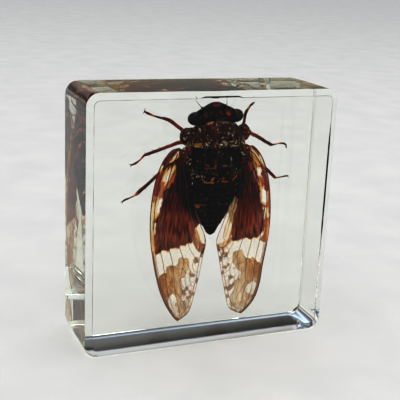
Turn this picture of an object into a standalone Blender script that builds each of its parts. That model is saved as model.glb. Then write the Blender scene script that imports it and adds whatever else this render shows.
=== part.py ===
"""A cicada cast in a clear resin block that stands on its narrow side.

The block is a 50 mm square slab with rounded corners and chamfered edges, broad and
shallow ones in front and narrow ones behind. It is parted on the plane of the wings,
so that each half holds its share of the pocket round the insect. Metres, +Z up,
origin at the middle of the bottom face, the insect's back towards -Y.
"""

import math

import bmesh
import bpy
from mathutils import Matrix, Vector

MM = 0.001

# The resin block
BLOCK_WIDTH = 50 * MM
BLOCK_HEIGHT = 50 * MM
BLOCK_DEPTH = 16 * MM
CORNER_RADIUS = 2.5 * MM
CORNER_SEGMENTS = 6
FRONT_CHAMFER_ON_FACE = 1.4 * MM
FRONT_CHAMFER_ON_SIDE = 0.35 * MM
BACK_CHAMFER_ON_FACE = 0.8 * MM
BACK_CHAMFER_ON_SIDE = 0.2 * MM
PARTING_Y = -1.5 * MM
PARTING_GAP = 0.3 * MM
POCKET_CLEARANCE = 0.3 * MM

# The insect's middle line, and the middle between its wings, which lie a little askew
BODY_X = 1.5 * MM
WINGS_X = 1.2 * MM
BODY_Y = 0.3 * MM
TRUNK_FLATNESS = 0.68

# The trunk from the front of the thorax to the tip of the abdomen: height and half width
TRUNK_PROFILE_MM = (
    (40.8, 3.6),
    (39.6, 5.6),
    (37.5, 6.3),
    (34.5, 6.3),
    (31.5, 5.9),
    (29.4, 5.5),
    (27.7, 4.8),
    (26.0, 3.6),
    (24.0, 2.1),
    (22.0, 1.1),
)
TRUNK_TOP = 41.8 * MM
ABDOMEN_TIP = 20.6 * MM
TRUNK_STEPS = 20

# The head, its face bulge, the eyes, the collar and its side lobes: centre and radii
HEAD_TILT = math.radians(2.8)
HEAD_CENTRE_MM = (1.5, 0.1, 44.3)
HEAD_RADII_MM = (4.7, 2.3, 2.45)
FACE_CENTRE_MM = (1.4, 0.3, 45.35)
FACE_RADII_MM = (2.1, 2.2, 1.8)
EYE_REACH_MM = 4.4
EYE_RADIUS_MM = 1.25
COLLAR_CENTRE_MM = (1.7, 0.2, 41.2)
COLLAR_RADII_MM = (5.8, 3.7, 2.8)
LOBE_REACH_MM = 5.5
LOBE_HEIGHT_MM = 40.9
LOBE_RADII_MM = (1.75, 1.6, 1.95)
BALL_SEGMENTS = 14
BALL_RINGS = 8

# The right wings seen from the back of the insect: distance from its middle line, height
FOREWING_OUTLINE_MM = (
    (5.0, 37.2),
    (7.2, 38.7),
    (8.7, 38.0),
    (10.0, 36.4),
    (11.1, 34.0),
    (11.9, 31.0),
    (12.4, 27.5),
    (12.6, 23.5),
    (12.4, 20.0),
    (12.0, 17.0),
    (11.4, 13.6),
    (10.6, 10.4),
    (9.5, 7.6),
    (8.4, 5.6),
    (7.2, 4.2),
    (6.1, 4.2),
    (5.0, 4.9),
    (4.2, 6.2),
    (3.6, 8.2),
    (2.9, 11.0),
    (2.2, 14.2),
    (1.7, 17.0),
    (1.2, 19.2),
    (1.4, 20.8),
    (2.4, 23.4),
    (3.6, 26.8),
    (4.2, 31.0),
)
HINDWING_OUTLINE_MM = (
    (4.4, 36.4),
    (7.6, 37.0),
    (9.6, 34.2),
    (10.7, 30.4),
    (11.0, 26.6),
    (10.2, 23.2),
    (8.2, 21.4),
    (5.8, 21.6),
    (4.0, 23.6),
    (3.4, 27.0),
    (3.8, 31.6),
)
WING_BASE_MM = (7.0, 38.5)
WING_SHEET = 0.4 * MM
WING_SMOOTHING = 2
HINDWING_BEHIND = 0.3 * MM

# How each side's wings swing about their base, and how far the base sits out
WING_SWING = {"left": math.radians(1.5), "right": math.radians(-0.7)}
WING_SHIFT_MM = {"left": 0.4, "right": -0.2}

# Legs and feelers: points from root to tip, and the half thickness at each point
LIMBS_MM = {
    "foreleg_left": (
        ((-1.0, 2.2, 40.2), (-4.6, 2.4, 41.9), (-8.1, 2.6, 44.0), (-12.3, 2.8, 45.4)),
        (0.40, 0.38, 0.28, 0.20),
    ),
    "midleg_left": (
        ((-1.0, 2.6, 38.6), (-4.9, 2.6, 39.1), (-12.4, 2.8, 37.4), (-15.0, 2.9, 35.2)),
        (0.40, 0.32, 0.26, 0.20),
    ),
    "hindleg_left": (
        ((-1.0, 2.8, 36.8), (-5.2, 2.8, 36.0), (-8.2, 2.9, 34.6), (-13.2, 3.0, 30.3),
         (-16.0, 3.0, 28.3)),
        (0.40, 0.34, 0.32, 0.24, 0.20),
    ),
    "foreleg_right": (
        ((4.0, 2.2, 40.2), (7.6, 2.4, 42.4), (7.8, 2.6, 45.5), (9.8, 2.8, 47.7)),
        (0.40, 0.34, 0.28, 0.20),
    ),
    "midleg_right": (
        ((4.0, 2.6, 39.6), (9.3, 2.6, 40.4), (14.0, 2.8, 38.2), (17.2, 2.9, 38.0)),
        (0.40, 0.34, 0.26, 0.20),
    ),
    "hindleg_right": (
        ((4.0, 2.8, 37.4), (10.2, 2.8, 35.8), (15.4, 3.0, 31.3), (18.3, 3.0, 31.6)),
        (0.40, 0.32, 0.24, 0.20),
    ),
    "feeler_left": (
        ((-1.0, 0.2, 45.4), (-1.9, 0.2, 46.4), (-3.1, 0.2, 47.9)),
        (0.20, 0.15, 0.12),
    ),
    "feeler_right": (
        ((3.2, 0.2, 45.6), (3.5, 0.2, 46.6), (3.45, 0.2, 48.0)),
        (0.20, 0.15, 0.12),
    ),
}

RESIN_COLOUR = (0.93, 0.95, 0.94, 1.0)
CICADA_COLOUR = (0.050, 0.026, 0.016, 1.0)


def clear_scene():
    for obj in list(bpy.data.objects):
        bpy.data.objects.remove(obj, do_unlink=True)


def new_collection(name):
    collection = bpy.data.collections.new(name)
    bpy.context.scene.collection.children.link(collection)
    return collection


def new_material(name, colour, roughness, transmission=0.0):
    material = bpy.data.materials.new(name)
    material.use_nodes = True
    shader = material.node_tree.nodes["Principled BSDF"]
    shader.inputs["Base Color"].default_value = colour
    shader.inputs["Roughness"].default_value = roughness
    shader.inputs["Metallic"].default_value = 0.0
    shader.inputs["Transmission Weight"].default_value = transmission
    shader.inputs["IOR"].default_value = 1.5
    material.diffuse_color = colour
    return material


def add_object(name, mesh, collection):
    obj = bpy.data.objects.new(name, mesh)
    collection.objects.link(obj)
    return obj


def object_from_bmesh(name, shape, collection):
    mesh = bpy.data.meshes.new(name)
    shape.to_mesh(mesh)
    shape.free()
    return add_object(name, mesh, collection)


def as_mesh(obj, collection):
    """Turn a curve, or an object with modifiers, into a mesh with its caps welded."""
    bpy.context.view_layer.update()
    graph = bpy.context.evaluated_depsgraph_get()
    mesh = bpy.data.meshes.new_from_object(obj.evaluated_get(graph))
    shape = bmesh.new()
    shape.from_mesh(mesh)
    bmesh.ops.remove_doubles(shape, verts=shape.verts, dist=0.00001)
    bmesh.ops.recalc_face_normals(shape, faces=shape.faces)
    shape.to_mesh(mesh)
    shape.free()
    solid = add_object(obj.name + "_solid", mesh, collection)
    solid.matrix_world = obj.matrix_world
    bpy.data.objects.remove(obj, do_unlink=True)
    return solid


def make_helper(obj):
    obj.hide_render = True
    obj.display_type = "WIRE"


def ellipsoid(name, centre_mm, radii_mm, grow, collection, tilt=0.0):
    """A ball stretched to three radii, each enlarged by grow, tilted about the Y axis."""
    stretch = Matrix.Diagonal([radius * MM + grow for radius in radii_mm] + [1.0])
    place = Matrix.Translation(Vector(centre_mm) * MM) @ Matrix.Rotation(tilt, 4, "Y")
    shape = bmesh.new()
    bmesh.ops.create_uvsphere(
        shape,
        u_segments=BALL_SEGMENTS,
        v_segments=BALL_RINGS,
        radius=1.0,
        matrix=place @ stretch,
    )
    return object_from_bmesh(name, shape, collection)


def trunk(grow, collection):
    """Thorax and abdomen in one: a turned profile, flattened from back to belly."""
    profile = bmesh.new()
    points = [(0.0, TRUNK_TOP + grow)]
    points += [(radius * MM + grow, height * MM) for height, radius in TRUNK_PROFILE_MM]
    points += [(0.0, ABDOMEN_TIP - grow)]
    corners = [profile.verts.new((radius, 0.0, height)) for radius, height in points]
    for upper, lower in zip(corners, corners[1:]):
        profile.edges.new((upper, lower))
    obj = object_from_bmesh("trunk", profile, collection)
    screw = obj.modifiers.new("turn", "SCREW")
    screw.axis = "Z"
    screw.steps = TRUNK_STEPS
    screw.render_steps = TRUNK_STEPS
    screw.use_merge_vertices = True
    screw.merge_threshold = 0.00001
    solid = as_mesh(obj, collection)
    solid.data.transform(Matrix.Diagonal((1.0, TRUNK_FLATNESS, 1.0, 1.0)))
    solid.data.transform(Matrix.Translation((BODY_X, BODY_Y, 0.0)))
    return solid


def wing_chart_to_block(point_mm, side):
    """Place a point of the right wing's chart on either side, with that side's swing."""
    out, height = point_mm
    base_out, base_height = WING_BASE_MM
    swing = WING_SWING[side]
    run = out - base_out
    rise = height - base_height
    turned_out = base_out + run * math.cos(swing) + rise * math.sin(swing)
    turned_height = base_height + rise * math.cos(swing) - run * math.sin(swing)
    mirror = -1.0 if side == "left" else 1.0
    across = WINGS_X + mirror * (turned_out + WING_SHIFT_MM[side]) * MM
    return across, turned_height * MM


def wing(name, outline_mm, side, middle_y, grow, collection):
    """A flat outline made into a sheet that stands in the XZ plane."""
    curve = bpy.data.curves.new(name, "CURVE")
    curve.dimensions = "2D"
    curve.fill_mode = "BOTH"
    curve.extrude = WING_SHEET / 2
    curve.bevel_depth = grow
    curve.bevel_resolution = 0
    spline = curve.splines.new("BEZIER")
    spline.bezier_points.add(len(outline_mm) - 1)
    for knot, point_mm in zip(spline.bezier_points, outline_mm):
        across, height = wing_chart_to_block(point_mm, side)
        knot.co = (across, height, 0.0)
        knot.handle_left_type = "AUTO"
        knot.handle_right_type = "AUTO"
    spline.use_cyclic_u = True
    spline.resolution_u = WING_SMOOTHING
    curve.resolution_u = WING_SMOOTHING
    obj = add_object(name, curve, collection)
    obj.location = (0.0, middle_y, 0.0)
    obj.rotation_euler = (math.pi / 2, 0.0, 0.0)
    return as_mesh(obj, collection)


def limb(name, points_mm, radii_mm, grow, collection):
    """A tapering rod through the points, made longer by grow at its free end."""
    path = [Vector(point) * MM for point in points_mm]
    path[-1] = path[-1] + (path[-1] - path[-2]).normalized() * grow
    curve = bpy.data.curves.new(name, "CURVE")
    curve.dimensions = "3D"
    curve.bevel_depth = MM
    curve.bevel_resolution = 1
    curve.use_fill_caps = True
    spline = curve.splines.new("POLY")
    spline.points.add(len(path) - 1)
    for knot, place, radius in zip(spline.points, path, radii_mm):
        knot.co = (*place, 1.0)
        knot.radius = radius + grow / MM
    return as_mesh(add_object(name, curve, collection), collection)


def cicada_pieces(grow, collection):
    """Every shape of the insect, each enlarged by grow. The trunk comes first."""
    pieces = [trunk(grow, collection)]
    head_axis = Matrix.Rotation(HEAD_TILT, 3, "Y")
    pieces.append(
        ellipsoid("head", HEAD_CENTRE_MM, HEAD_RADII_MM, grow, collection, -HEAD_TILT)
    )
    pieces.append(ellipsoid("face", FACE_CENTRE_MM, FACE_RADII_MM, grow, collection))
    pieces.append(
        ellipsoid("collar", COLLAR_CENTRE_MM, COLLAR_RADII_MM, grow, collection)
    )
    for side, sign in (("left", -1.0), ("right", 1.0)):
        reach = head_axis.inverted() @ Vector((sign * EYE_REACH_MM, 0.0, 0.0))
        eye = Vector(HEAD_CENTRE_MM) + reach
        eye_radii = (EYE_RADIUS_MM,) * 3
        pieces.append(ellipsoid("eye_" + side, eye, eye_radii, grow, collection))
        lobe = (COLLAR_CENTRE_MM[0] + sign * LOBE_REACH_MM, 0.2, LOBE_HEIGHT_MM)
        pieces.append(ellipsoid("lobe_" + side, lobe, LOBE_RADII_MM, grow, collection))
        pieces.append(
            wing("forewing_" + side, FOREWING_OUTLINE_MM, side, PARTING_Y, grow, collection)
        )
        behind = PARTING_Y + HINDWING_BEHIND
        pieces.append(
            wing("hindwing_" + side, HINDWING_OUTLINE_MM, side, behind, grow, collection)
        )
    for name, (points, radii) in LIMBS_MM.items():
        pieces.append(limb(name, points, radii, grow, collection))
    return pieces


def fuse(name, pieces, collection):
    """One body from all the pieces. The pieces stay as hidden helpers."""
    trunk_piece, *others = pieces
    body = add_object(name, trunk_piece.data.copy(), collection)
    body.matrix_world = trunk_piece.matrix_world
    for piece in others:
        union = body.modifiers.new("with_" + piece.name, "BOOLEAN")
        union.operation = "UNION"
        union.solver = "EXACT"
        union.object = piece
    for piece in pieces:
        make_helper(piece)
    return body


def half_block(name, front, collection):
    """One half of the slab, from the parting gap out to its chamfered face."""
    outward = -1.0 if front else 1.0
    if front:
        chamfer_on_face, chamfer_on_side = FRONT_CHAMFER_ON_FACE, FRONT_CHAMFER_ON_SIDE
    else:
        chamfer_on_face, chamfer_on_side = BACK_CHAMFER_ON_FACE, BACK_CHAMFER_ON_SIDE
    inner = PARTING_Y + outward * PARTING_GAP / 2
    outer = outward * (BLOCK_DEPTH / 2 - chamfer_on_side)
    depth = abs(outer - inner)
    shape = bmesh.new()
    bmesh.ops.create_cube(
        shape,
        size=1.0,
        matrix=Matrix.Translation((0.0, (inner + outer) / 2, BLOCK_HEIGHT / 2))
        @ Matrix.Diagonal((BLOCK_WIDTH, depth, BLOCK_HEIGHT, 1.0)),
    )
    corners = [edge for edge in shape.edges if runs_along_y(edge)]
    bmesh.ops.bevel(
        shape,
        geom=corners,
        offset=CORNER_RADIUS,
        offset_type="OFFSET",
        segments=CORNER_SEGMENTS,
        profile=0.5,
        affect="EDGES",
    )
    shape.normal_update()
    outer_faces = [face for face in shape.faces if face.normal.y * outward > 0.9]
    bmesh.ops.inset_region(
        shape,
        faces=outer_faces,
        thickness=chamfer_on_face,
        depth=0.0,
        use_even_offset=True,
    )
    raised = {vert for face in outer_faces for vert in face.verts}
    bmesh.ops.translate(
        shape, verts=list(raised), vec=(0.0, outward * chamfer_on_side, 0.0)
    )
    return object_from_bmesh(name, shape, collection)


def runs_along_y(edge):
    start, end = edge.verts
    along = (end.co - start.co).normalized()
    return abs(along.y) > 0.9


def cut_pocket(half, pocket):
    cut = half.modifiers.new("pocket", "BOOLEAN")
    cut.operation = "DIFFERENCE"
    cut.solver = "EXACT"
    cut.object = pocket


def main():
    clear_scene()
    parts = new_collection("insect_in_resin_block")
    helpers = new_collection("helpers")
    resin = new_material("clear_resin", RESIN_COLOUR, 0.03, transmission=1.0)
    chitin = new_material("cicada", CICADA_COLOUR, 0.45)

    cicada = fuse("cicada", cicada_pieces(0.0, helpers), parts)
    cicada.data.materials.append(chitin)
    cicada.data.shade_smooth()
    cicada.data.set_sharp_from_angle(angle=math.radians(40))

    pocket = fuse("pocket", cicada_pieces(POCKET_CLEARANCE, helpers), helpers)
    make_helper(pocket)

    for name, front in (("resin_front", True), ("resin_back", False)):
        half = half_block(name, front, parts)
        half.data.materials.append(resin)
        cut_pocket(half, pocket)


main()
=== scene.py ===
import math
import random

import bmesh
import bpy
import numpy as np
from mathutils import Matrix, Vector, noise


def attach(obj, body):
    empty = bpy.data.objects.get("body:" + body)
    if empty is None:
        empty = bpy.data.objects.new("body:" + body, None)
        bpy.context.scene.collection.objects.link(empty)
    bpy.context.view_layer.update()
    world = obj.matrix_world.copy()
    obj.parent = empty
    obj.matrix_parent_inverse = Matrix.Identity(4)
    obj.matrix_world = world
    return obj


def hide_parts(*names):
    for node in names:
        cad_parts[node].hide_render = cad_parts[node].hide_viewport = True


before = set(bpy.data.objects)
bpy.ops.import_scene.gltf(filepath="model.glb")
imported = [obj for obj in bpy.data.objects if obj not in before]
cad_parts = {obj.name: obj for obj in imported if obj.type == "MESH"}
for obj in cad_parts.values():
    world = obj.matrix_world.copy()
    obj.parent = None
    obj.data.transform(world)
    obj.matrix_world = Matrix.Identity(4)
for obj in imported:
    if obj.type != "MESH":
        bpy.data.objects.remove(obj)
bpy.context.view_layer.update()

MM = 0.001

# Two directions with a cosine above this count as the same
SAME_WAY = 0.9

# The resin block: the same sizes as in part.py.
BLOCK_WIDTH = 50 * MM
BLOCK_HEIGHT = 50 * MM
BLOCK_DEPTH = 16 * MM
CORNER_RADIUS = 2.5 * MM
FRONT_CHAMFER_ON_FACE = 1.4 * MM
FRONT_CHAMFER_ON_SIDE = 0.35 * MM
BACK_CHAMFER_ON_FACE = 0.8 * MM
BACK_CHAMFER_ON_SIDE = 0.2 * MM
EDGE_ROUND = 0.1 * MM
SIDE_CAMBER = 0.08 * MM
SIDE_STRIPS = 12
CORNER_SEGMENTS = 16
EDGE_SEGMENTS = 3
EDGE_ANGLE = math.radians(9)

# Clear resin, with a faint grey-green tint along long light paths
RESIN_IOR = 1.5
RESIN_TINT = (0.93, 0.95, 0.90)
RESIN_DENSITY = 46.0

CAMERA_PLACE_MM = (-62.86, -149.99, 73.29)
CAMERA_TURN = (1.294, -0.0426, -0.386)
CAMERA_LENS = 77.34
CAMERA_SENSOR = 36
CAMERA_CLIPS = (0.005, 50)

FLOOR_SIZE = 6.0
FLOOR_DROP = 0.1 * MM

# The key light, in metres and watts
KEY_PLACE = (0.05, -0.05, 1.15)
KEY_TARGET = (0.05, -0.1, 0.0)
KEY_SIZE = (0.6, 0.6)
KEY_POWER = 1.45
KEY_SPREAD = math.radians(120)

# The insect's middle line, and the middle between its wings. All in mm from here on.
BODY_X, BODY_Y = 1.5, 0.3
BODY_MIDDLE = (BODY_X, BODY_Y)
HEAD_X, HEAD_Y = 1.5, 0.1
HEAD_MIDDLE = (HEAD_X, HEAD_Y)
COLLAR_X = 1.7
COLLAR_MIDDLE = (COLLAR_X, 0.15)
WINGS_X = 1.2
WING_PLANE = -1.5
HINDWING_PLANE = -1.2
WING_BASE = (7.0, 38.5)
WING_SWING = {"left": math.radians(1.5), "right": math.radians(-0.7)}
WING_SHIFT = {"left": 0.4, "right": -0.2}

# The right wing's tip is broader: its inner margin there (place and lean), by how
# much it spreads out from that margin, from which height down, and over how much.
TIP_INNER = (2.9, 11.0)
TIP_LEAN = 0.44
TIP_SPREAD = 0.25
TIP_FROM, TIP_OVER = 15, 9


def srgb(red, green, blue):
    """A linear colour from its values on screen, 0 to 255."""
    return tuple((value / 255) ** 2.2 for value in (red, green, blue))


# ---------------------------------------------------------------- mesh tools

# Angle between a ball's first ring and its pole, scale of the noise of its skin, and
# points of a smooth path for each span where it is then spaced evenly
POLE_GAP = 0.04
BALL_GRAIN = 1.6
DENSE = 24


def add_object(name, data):
    obj = bpy.data.objects.new(name, data)
    bpy.context.scene.collection.objects.link(obj)
    return obj


def painted_object(name, shape, material):
    """A smooth object from (points in mm, faces, colours)."""
    points, faces, colours = shape
    mesh = bpy.data.meshes.new(name)
    mesh.from_pydata((points * MM).tolist(), [], faces)
    mesh.validate()
    mesh.shade_smooth()
    layer = mesh.color_attributes.new("pigment", "FLOAT_COLOR", "POINT")
    layer.data.foreach_set("color", np.asarray(colours, np.float32).ravel())
    mesh.materials.append(material)
    return add_object(name, mesh)


def insect_piece(name, shape, material):
    obj = painted_object(name, shape, material)
    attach(obj, "root")
    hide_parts("cicada")


def join(shapes):
    """Several shapes as one."""
    points, faces, colours, start = [], [], [], 0
    for shape_points, shape_faces, shape_colours in shapes:
        points.append(shape_points)
        colours.append(shape_colours)
        faces += [tuple(corner + start for corner in face) for face in shape_faces]
        start += len(shape_points)
    return np.vstack(points), faces, np.vstack(colours)


def smooth_path(points, per_span):
    """A Catmull-Rom curve through the points."""
    knots = np.array(points, float)
    ends = 2 * knots[0] - knots[1], 2 * knots[-1] - knots[-2]
    knots = np.vstack([ends[0], knots, ends[1]])
    step = np.linspace(0, 1, per_span, endpoint=False)[:, None]
    spans = []
    for a, b, c, d in zip(knots, knots[1:], knots[2:], knots[3:]):
        spans.append(0.5 * (2 * b + (c - a) * step
                            + (2 * a - 5 * b + 4 * c - d) * step ** 2
                            + (3 * b - a - 3 * c + d) * step ** 3))
    return np.vstack(spans + [knots[-2:-1]])


def evenly(points, count):
    """Evenly spaced places along a line."""
    reach = np.append(0, np.cumsum(np.linalg.norm(np.diff(points, axis=0), axis=1)))
    wanted = np.linspace(0, reach[-1], count)
    return np.stack([np.interp(wanted, reach, row) for row in points.T], axis=1)


def even_path(points, count):
    """Evenly spaced places along the smooth path through the points."""
    return evenly(smooth_path(points, DENSE), count)


def grid_faces(rows, columns, wrap=False):
    """Faces of a grid of points stored row by row."""
    across = columns if wrap else columns - 1
    return [(row * columns + column,
             row * columns + (column + 1) % columns,
             (row + 1) * columns + (column + 1) % columns,
             (row + 1) * columns + column)
            for row in range(rows - 1) for column in range(across)]


def closed_rings(rings):
    """A closed shape from rings of points, each end closed on its middle."""
    rows, columns, _ = rings.shape
    points = np.vstack([rings.reshape(-1, 3), rings[0].mean(0), rings[-1].mean(0)])
    faces = grid_faces(rows, columns, wrap=True)
    top, tip, last = rows * columns, rows * columns + 1, (rows - 1) * columns
    for column in range(columns):
        after = (column + 1) % columns
        faces.append((top, after, column))
        faces.append((tip, last + column, last + after))
    return points, faces


def lofted(sections, centre, rows, around, fullness, relief):
    """A body along Z. Each section is (height, half width, back, belly depth)."""
    table = even_path(sections, rows)
    angle = np.linspace(0, 2 * math.pi, around, endpoint=False)
    cosine, sine = np.cos(angle), np.sin(angle)
    side = np.sign(cosine) * np.abs(cosine) ** (2 / fullness)
    face = np.sign(sine) * np.abs(sine) ** (2 / fullness)
    height, wide, back, belly = (table[:, i:i + 1] for i in range(4))
    deep = np.where(sine > 0, back, belly)
    x, y = wide * side, -deep * face
    if relief is not None:
        reach = np.hypot(x, y) + 1e-6
        grow = 1 + relief(x, y, height + 0 * x) / reach
        x, y = x * grow, y * grow
    rings = np.stack([x + centre[0], y + centre[1], height + 0 * x], axis=2)
    return closed_rings(rings)


def ball(centre, radii, rows, around, relief=0.0, seed=0.0):
    """A stretched ball with a slightly uneven skin."""
    theta = np.linspace(POLE_GAP, math.pi - POLE_GAP, rows)[:, None]
    phi = np.linspace(0, 2 * math.pi, around, endpoint=False)[None, :]
    way = np.stack([np.sin(theta) * np.cos(phi), np.sin(theta) * np.sin(phi),
                    np.cos(theta) + 0 * phi], axis=2)
    points = way * np.array(radii)
    if relief:
        rough = noise_at(points.reshape(-1, 3) + np.array(centre), BALL_GRAIN, seed)
        points = points * (1 + relief * rough.reshape(rows, around, 1))
    return closed_rings(points + np.array(centre))


def tube(path, radii, sides, flat=1.0):
    """A tapering rod along a path. flat narrows it from back to belly."""
    path, radii = np.asarray(path, float), np.asarray(radii, float)
    along = np.gradient(path, axis=0)
    along /= np.linalg.norm(along, axis=1)[:, None]
    guide = np.array([0.0, 1.0, 0.0])
    if abs(along.mean(0)[1]) > SAME_WAY:
        guide = np.array([1.0, 0.0, 0.0])
    side = np.cross(along, guide)
    side /= np.linalg.norm(side, axis=1)[:, None]
    up = np.cross(side, along)
    angle = np.linspace(0, 2 * math.pi, sides, endpoint=False)
    ring = (np.cos(angle)[None, :, None] * side[:, None, :]
            + flat * np.sin(angle)[None, :, None] * up[:, None, :])
    return closed_rings(path[:, None, :] + radii[:, None, None] * ring)


def noise_at(points, scale, seed):
    """Noise at each point, with features of about 1 / scale mm."""
    return np.array([noise.noise(Vector(p) * scale + Vector((seed, seed, 0)))
                     for p in points])


def turned(points, centre, angle):
    """Points turned in the XZ plane about a centre, left side down."""
    cosine, sine = math.cos(angle), math.sin(angle)
    x, z = points[:, 0] - centre[0], points[:, 2] - centre[1]
    out = points.copy()
    out[:, 0] = centre[0] + x * cosine - z * sine
    out[:, 2] = centre[1] + z * cosine + x * sine
    return out


# ---------------------------------------------------------------- painting by shape

def patch_distance(points, outline):
    """Distance in mm from points to a closed outline, negative inside it."""
    start = np.array(outline, float)
    edge = np.roll(start, -1, axis=0) - start
    run = points[:, None, :] - start
    part = np.clip((run * edge).sum(2) / (edge ** 2).sum(1), 0, 1)
    gap = np.linalg.norm(run - part[..., None] * edge, axis=2).min(1)
    end = start + edge
    after_start = points[:, None, 1] >= start[:, 1]
    before_end = points[:, None, 1] < end[:, 1]
    turn = edge[:, 0] * run[..., 1] - edge[:, 1] * run[..., 0]
    winding = ((after_start & before_end & (turn > 0)).sum(1)
               - (~after_start & ~before_end & (turn < 0)).sum(1))
    return np.where(winding != 0, -gap, gap)


def line_distance(points, path):
    """Distance in mm from points to an open line."""
    path = np.array(path, float)
    if len(path) == 1:
        return np.linalg.norm(points - path[0], axis=1)
    start, edge = path[:-1], np.diff(path, axis=0)
    run = points[:, None, :] - start
    part = np.clip((run * edge).sum(2) / (edge ** 2).sum(1), 0, 1)
    return np.linalg.norm(run - part[..., None] * edge, axis=2).min(1)


def soft(distance, edge):
    """1 inside, 0 outside, and smooth across the edge's width."""
    part = np.clip(0.5 - distance / edge, 0, 1)
    return part * part * (3 - 2 * part)


def slope(values, start, width, top=1.0):
    """0 before the start, the top after the width, which is negative downwards."""
    return np.clip((values - start) / width, 0, top)


def lay(colours, mask, colour, alpha=None):
    """Lay a colour over the others where the mask is 1."""
    mask = mask[:, None]
    target = np.array([*colour, 1.0 if alpha is None else alpha])
    if alpha is None:
        colours[:, :3] += (target[:3] - colours[:, :3]) * mask
    else:
        colours += (target - colours) * mask


def plain(points, colour, alpha=0.0):
    """One colour for all points. Alpha: opacity of a wing, flecks elsewhere."""
    return np.tile([*colour, alpha], (len(points), 1))


def tinted(shape, colour, alpha=0.0):
    """A shape of points and faces, with one colour added."""
    points, faces = shape
    return points, faces, plain(points, colour, alpha)


# ---------------------------------------------------------------- materials

# Chitin: how much the paint's alpha adds to the noise that sets the flecks, their two
# colours, and the roughness of its smooth and dull spots
FLECK_CROWDING = 0.2
FLECK_BROWN = srgb(140, 80, 42)
FLECK_PALE = srgb(206, 196, 160)
CHITIN_SMOOTH = 0.35
CHITIN_DULL = 0.6
EYE_DARK, EYE_PALE = srgb(8, 7, 8), srgb(24, 16, 17)
CARD_DARK, CARD_PALE = srgb(200, 199, 196), srgb(208, 206, 203)


class Nodes:
    """Builds a tree of nodes. A socket as a value makes a link."""

    def __init__(self, tree):
        self.tree = tree

    def feed(self, sockets, values):
        """Link or set some of the sockets, from a table by name or number."""
        for name, value in values.items():
            if isinstance(value, bpy.types.NodeSocket):
                self.tree.links.new(value, sockets[name])
            else:
                sockets[name].default_value = value

    def add(self, kind, values=None):
        node = self.tree.nodes.new("ShaderNode" + kind)
        self.feed(node.inputs, values or {})
        return node

    def noise(self, scale, detail, stretch=None):
        """Noise in the object's own space, with its features sized in 1/m."""
        where = self.add("TexCoord").outputs["Object"]
        if stretch is not None:
            shape = self.add("Mapping", {"Vector": where, "Scale": stretch})
            where = shape.outputs["Vector"]
        grain = self.add("TexNoise", {"Vector": where, "Scale": scale,
                                      "Detail": detail})
        return grain.outputs["Fac"]

    def ramp(self, source, *stops):
        """Colours by the source's value, from stops of (value, colour)."""
        node = self.add("ValToRGB", {0: source})
        elements = node.color_ramp.elements
        elements[0].position, elements[-1].position = stops[0][0], stops[-1][0]
        elements[0].color, elements[-1].color = (*stops[0][1], 1), (*stops[-1][1], 1)
        for place, colour in stops[1:-1]:
            elements.new(place).color = (*colour, 1)
        return node.outputs["Color"]

    def mix(self, blend, factor, first, second):
        """Two colours mixed by a factor."""
        node = self.add("Mix")
        node.data_type = "RGBA"
        node.blend_type = blend
        self.feed(node.inputs, {0: factor, 6: first, 7: second})
        return node.outputs[2]


class Surface(Nodes):
    """A material, with the inputs of its shader."""

    def __init__(self, name, roughness, specular):
        self.material = bpy.data.materials.new(name)
        self.material.use_nodes = True
        super().__init__(self.material.node_tree)
        self.inputs = self.tree.nodes["Principled BSDF"].inputs
        self.set({"Roughness": roughness, "Specular IOR Level": specular})

    def set(self, values):
        self.feed(self.inputs, values)
        return self.material

    def pigment(self, grain, *cloud):
        """The mesh's colour, clouded by a noise, and its alpha."""
        paint = self.add("Attribute")
        paint.attribute_name = "pigment"
        tone = self.ramp(self.noise(*grain), *cloud)
        colour = self.mix("MULTIPLY", 1.0, paint.outputs["Color"], tone)
        return colour, paint.outputs["Alpha"]

    def bump(self, source, depth_mm):
        node = self.add("Bump", {"Height": source, "Distance": depth_mm * MM,
                                 "Strength": 1.0})
        self.set({"Normal": node.outputs["Normal"]})


def chitin_material(name, grain=2500, depth_mm=0.03):
    """Painted chitin. The higher the paint's alpha, the more pale flecks."""
    chitin = Surface(name, CHITIN_DULL, 0.04)
    colour, crowd = chitin.pigment((900, 4), (0.3, (0.55, 0.55, 0.6)),
                                   (0.7, (1.35, 1.25, 1.2)))
    flecks = chitin.add("Math")
    flecks.operation = "MULTIPLY_ADD"
    chitin.feed(flecks.inputs, {0: crowd, 1: FLECK_CROWDING, 2: chitin.noise(grain, 2)})
    speck = chitin.ramp(flecks.outputs[0], (0.70, (0, 0, 0)), (0.75, (1, 1, 1)))
    tone = chitin.ramp(chitin.noise(1400, 1), (0.35, FLECK_BROWN), (0.62, FLECK_PALE))
    gloss = chitin.add("MapRange", {"Value": chitin.noise(1800, 2),
                                    "To Min": CHITIN_SMOOTH, "To Max": CHITIN_DULL})
    chitin.bump(chitin.noise(grain * 1.5, 3), depth_mm)
    return chitin.set({"Base Color": chitin.mix("MIX", speck, colour, tone),
                       "Roughness": gloss.outputs["Result"]})


def wing_material():
    """Wing membrane: painted pigment with long fine streaks in it."""
    wing = Surface("wing_membrane", 0.45, 0.1)
    colour, alpha = wing.pigment((1500, 5, (1.0, 1.0, 0.22)),
                                 (0.32, (0.72, 0.70, 0.68)), (0.68, (1.25, 1.22, 1.18)))
    wing.bump(wing.noise(3000, 3, (1.0, 1.0, 0.35)), 0.02)
    return wing.set({"Base Color": colour, "Alpha": alpha})


def vein_material():
    vein = Surface("wing_veins", 0.4, 0.15)
    colour, _ = vein.pigment((1500, 3), (0.3, (0.6, 0.55, 0.5)), (0.7, (1.4, 1.3, 1.2)))
    vein.bump(vein.noise(6000, 2), 0.01)
    return vein.set({"Base Color": colour})


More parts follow.
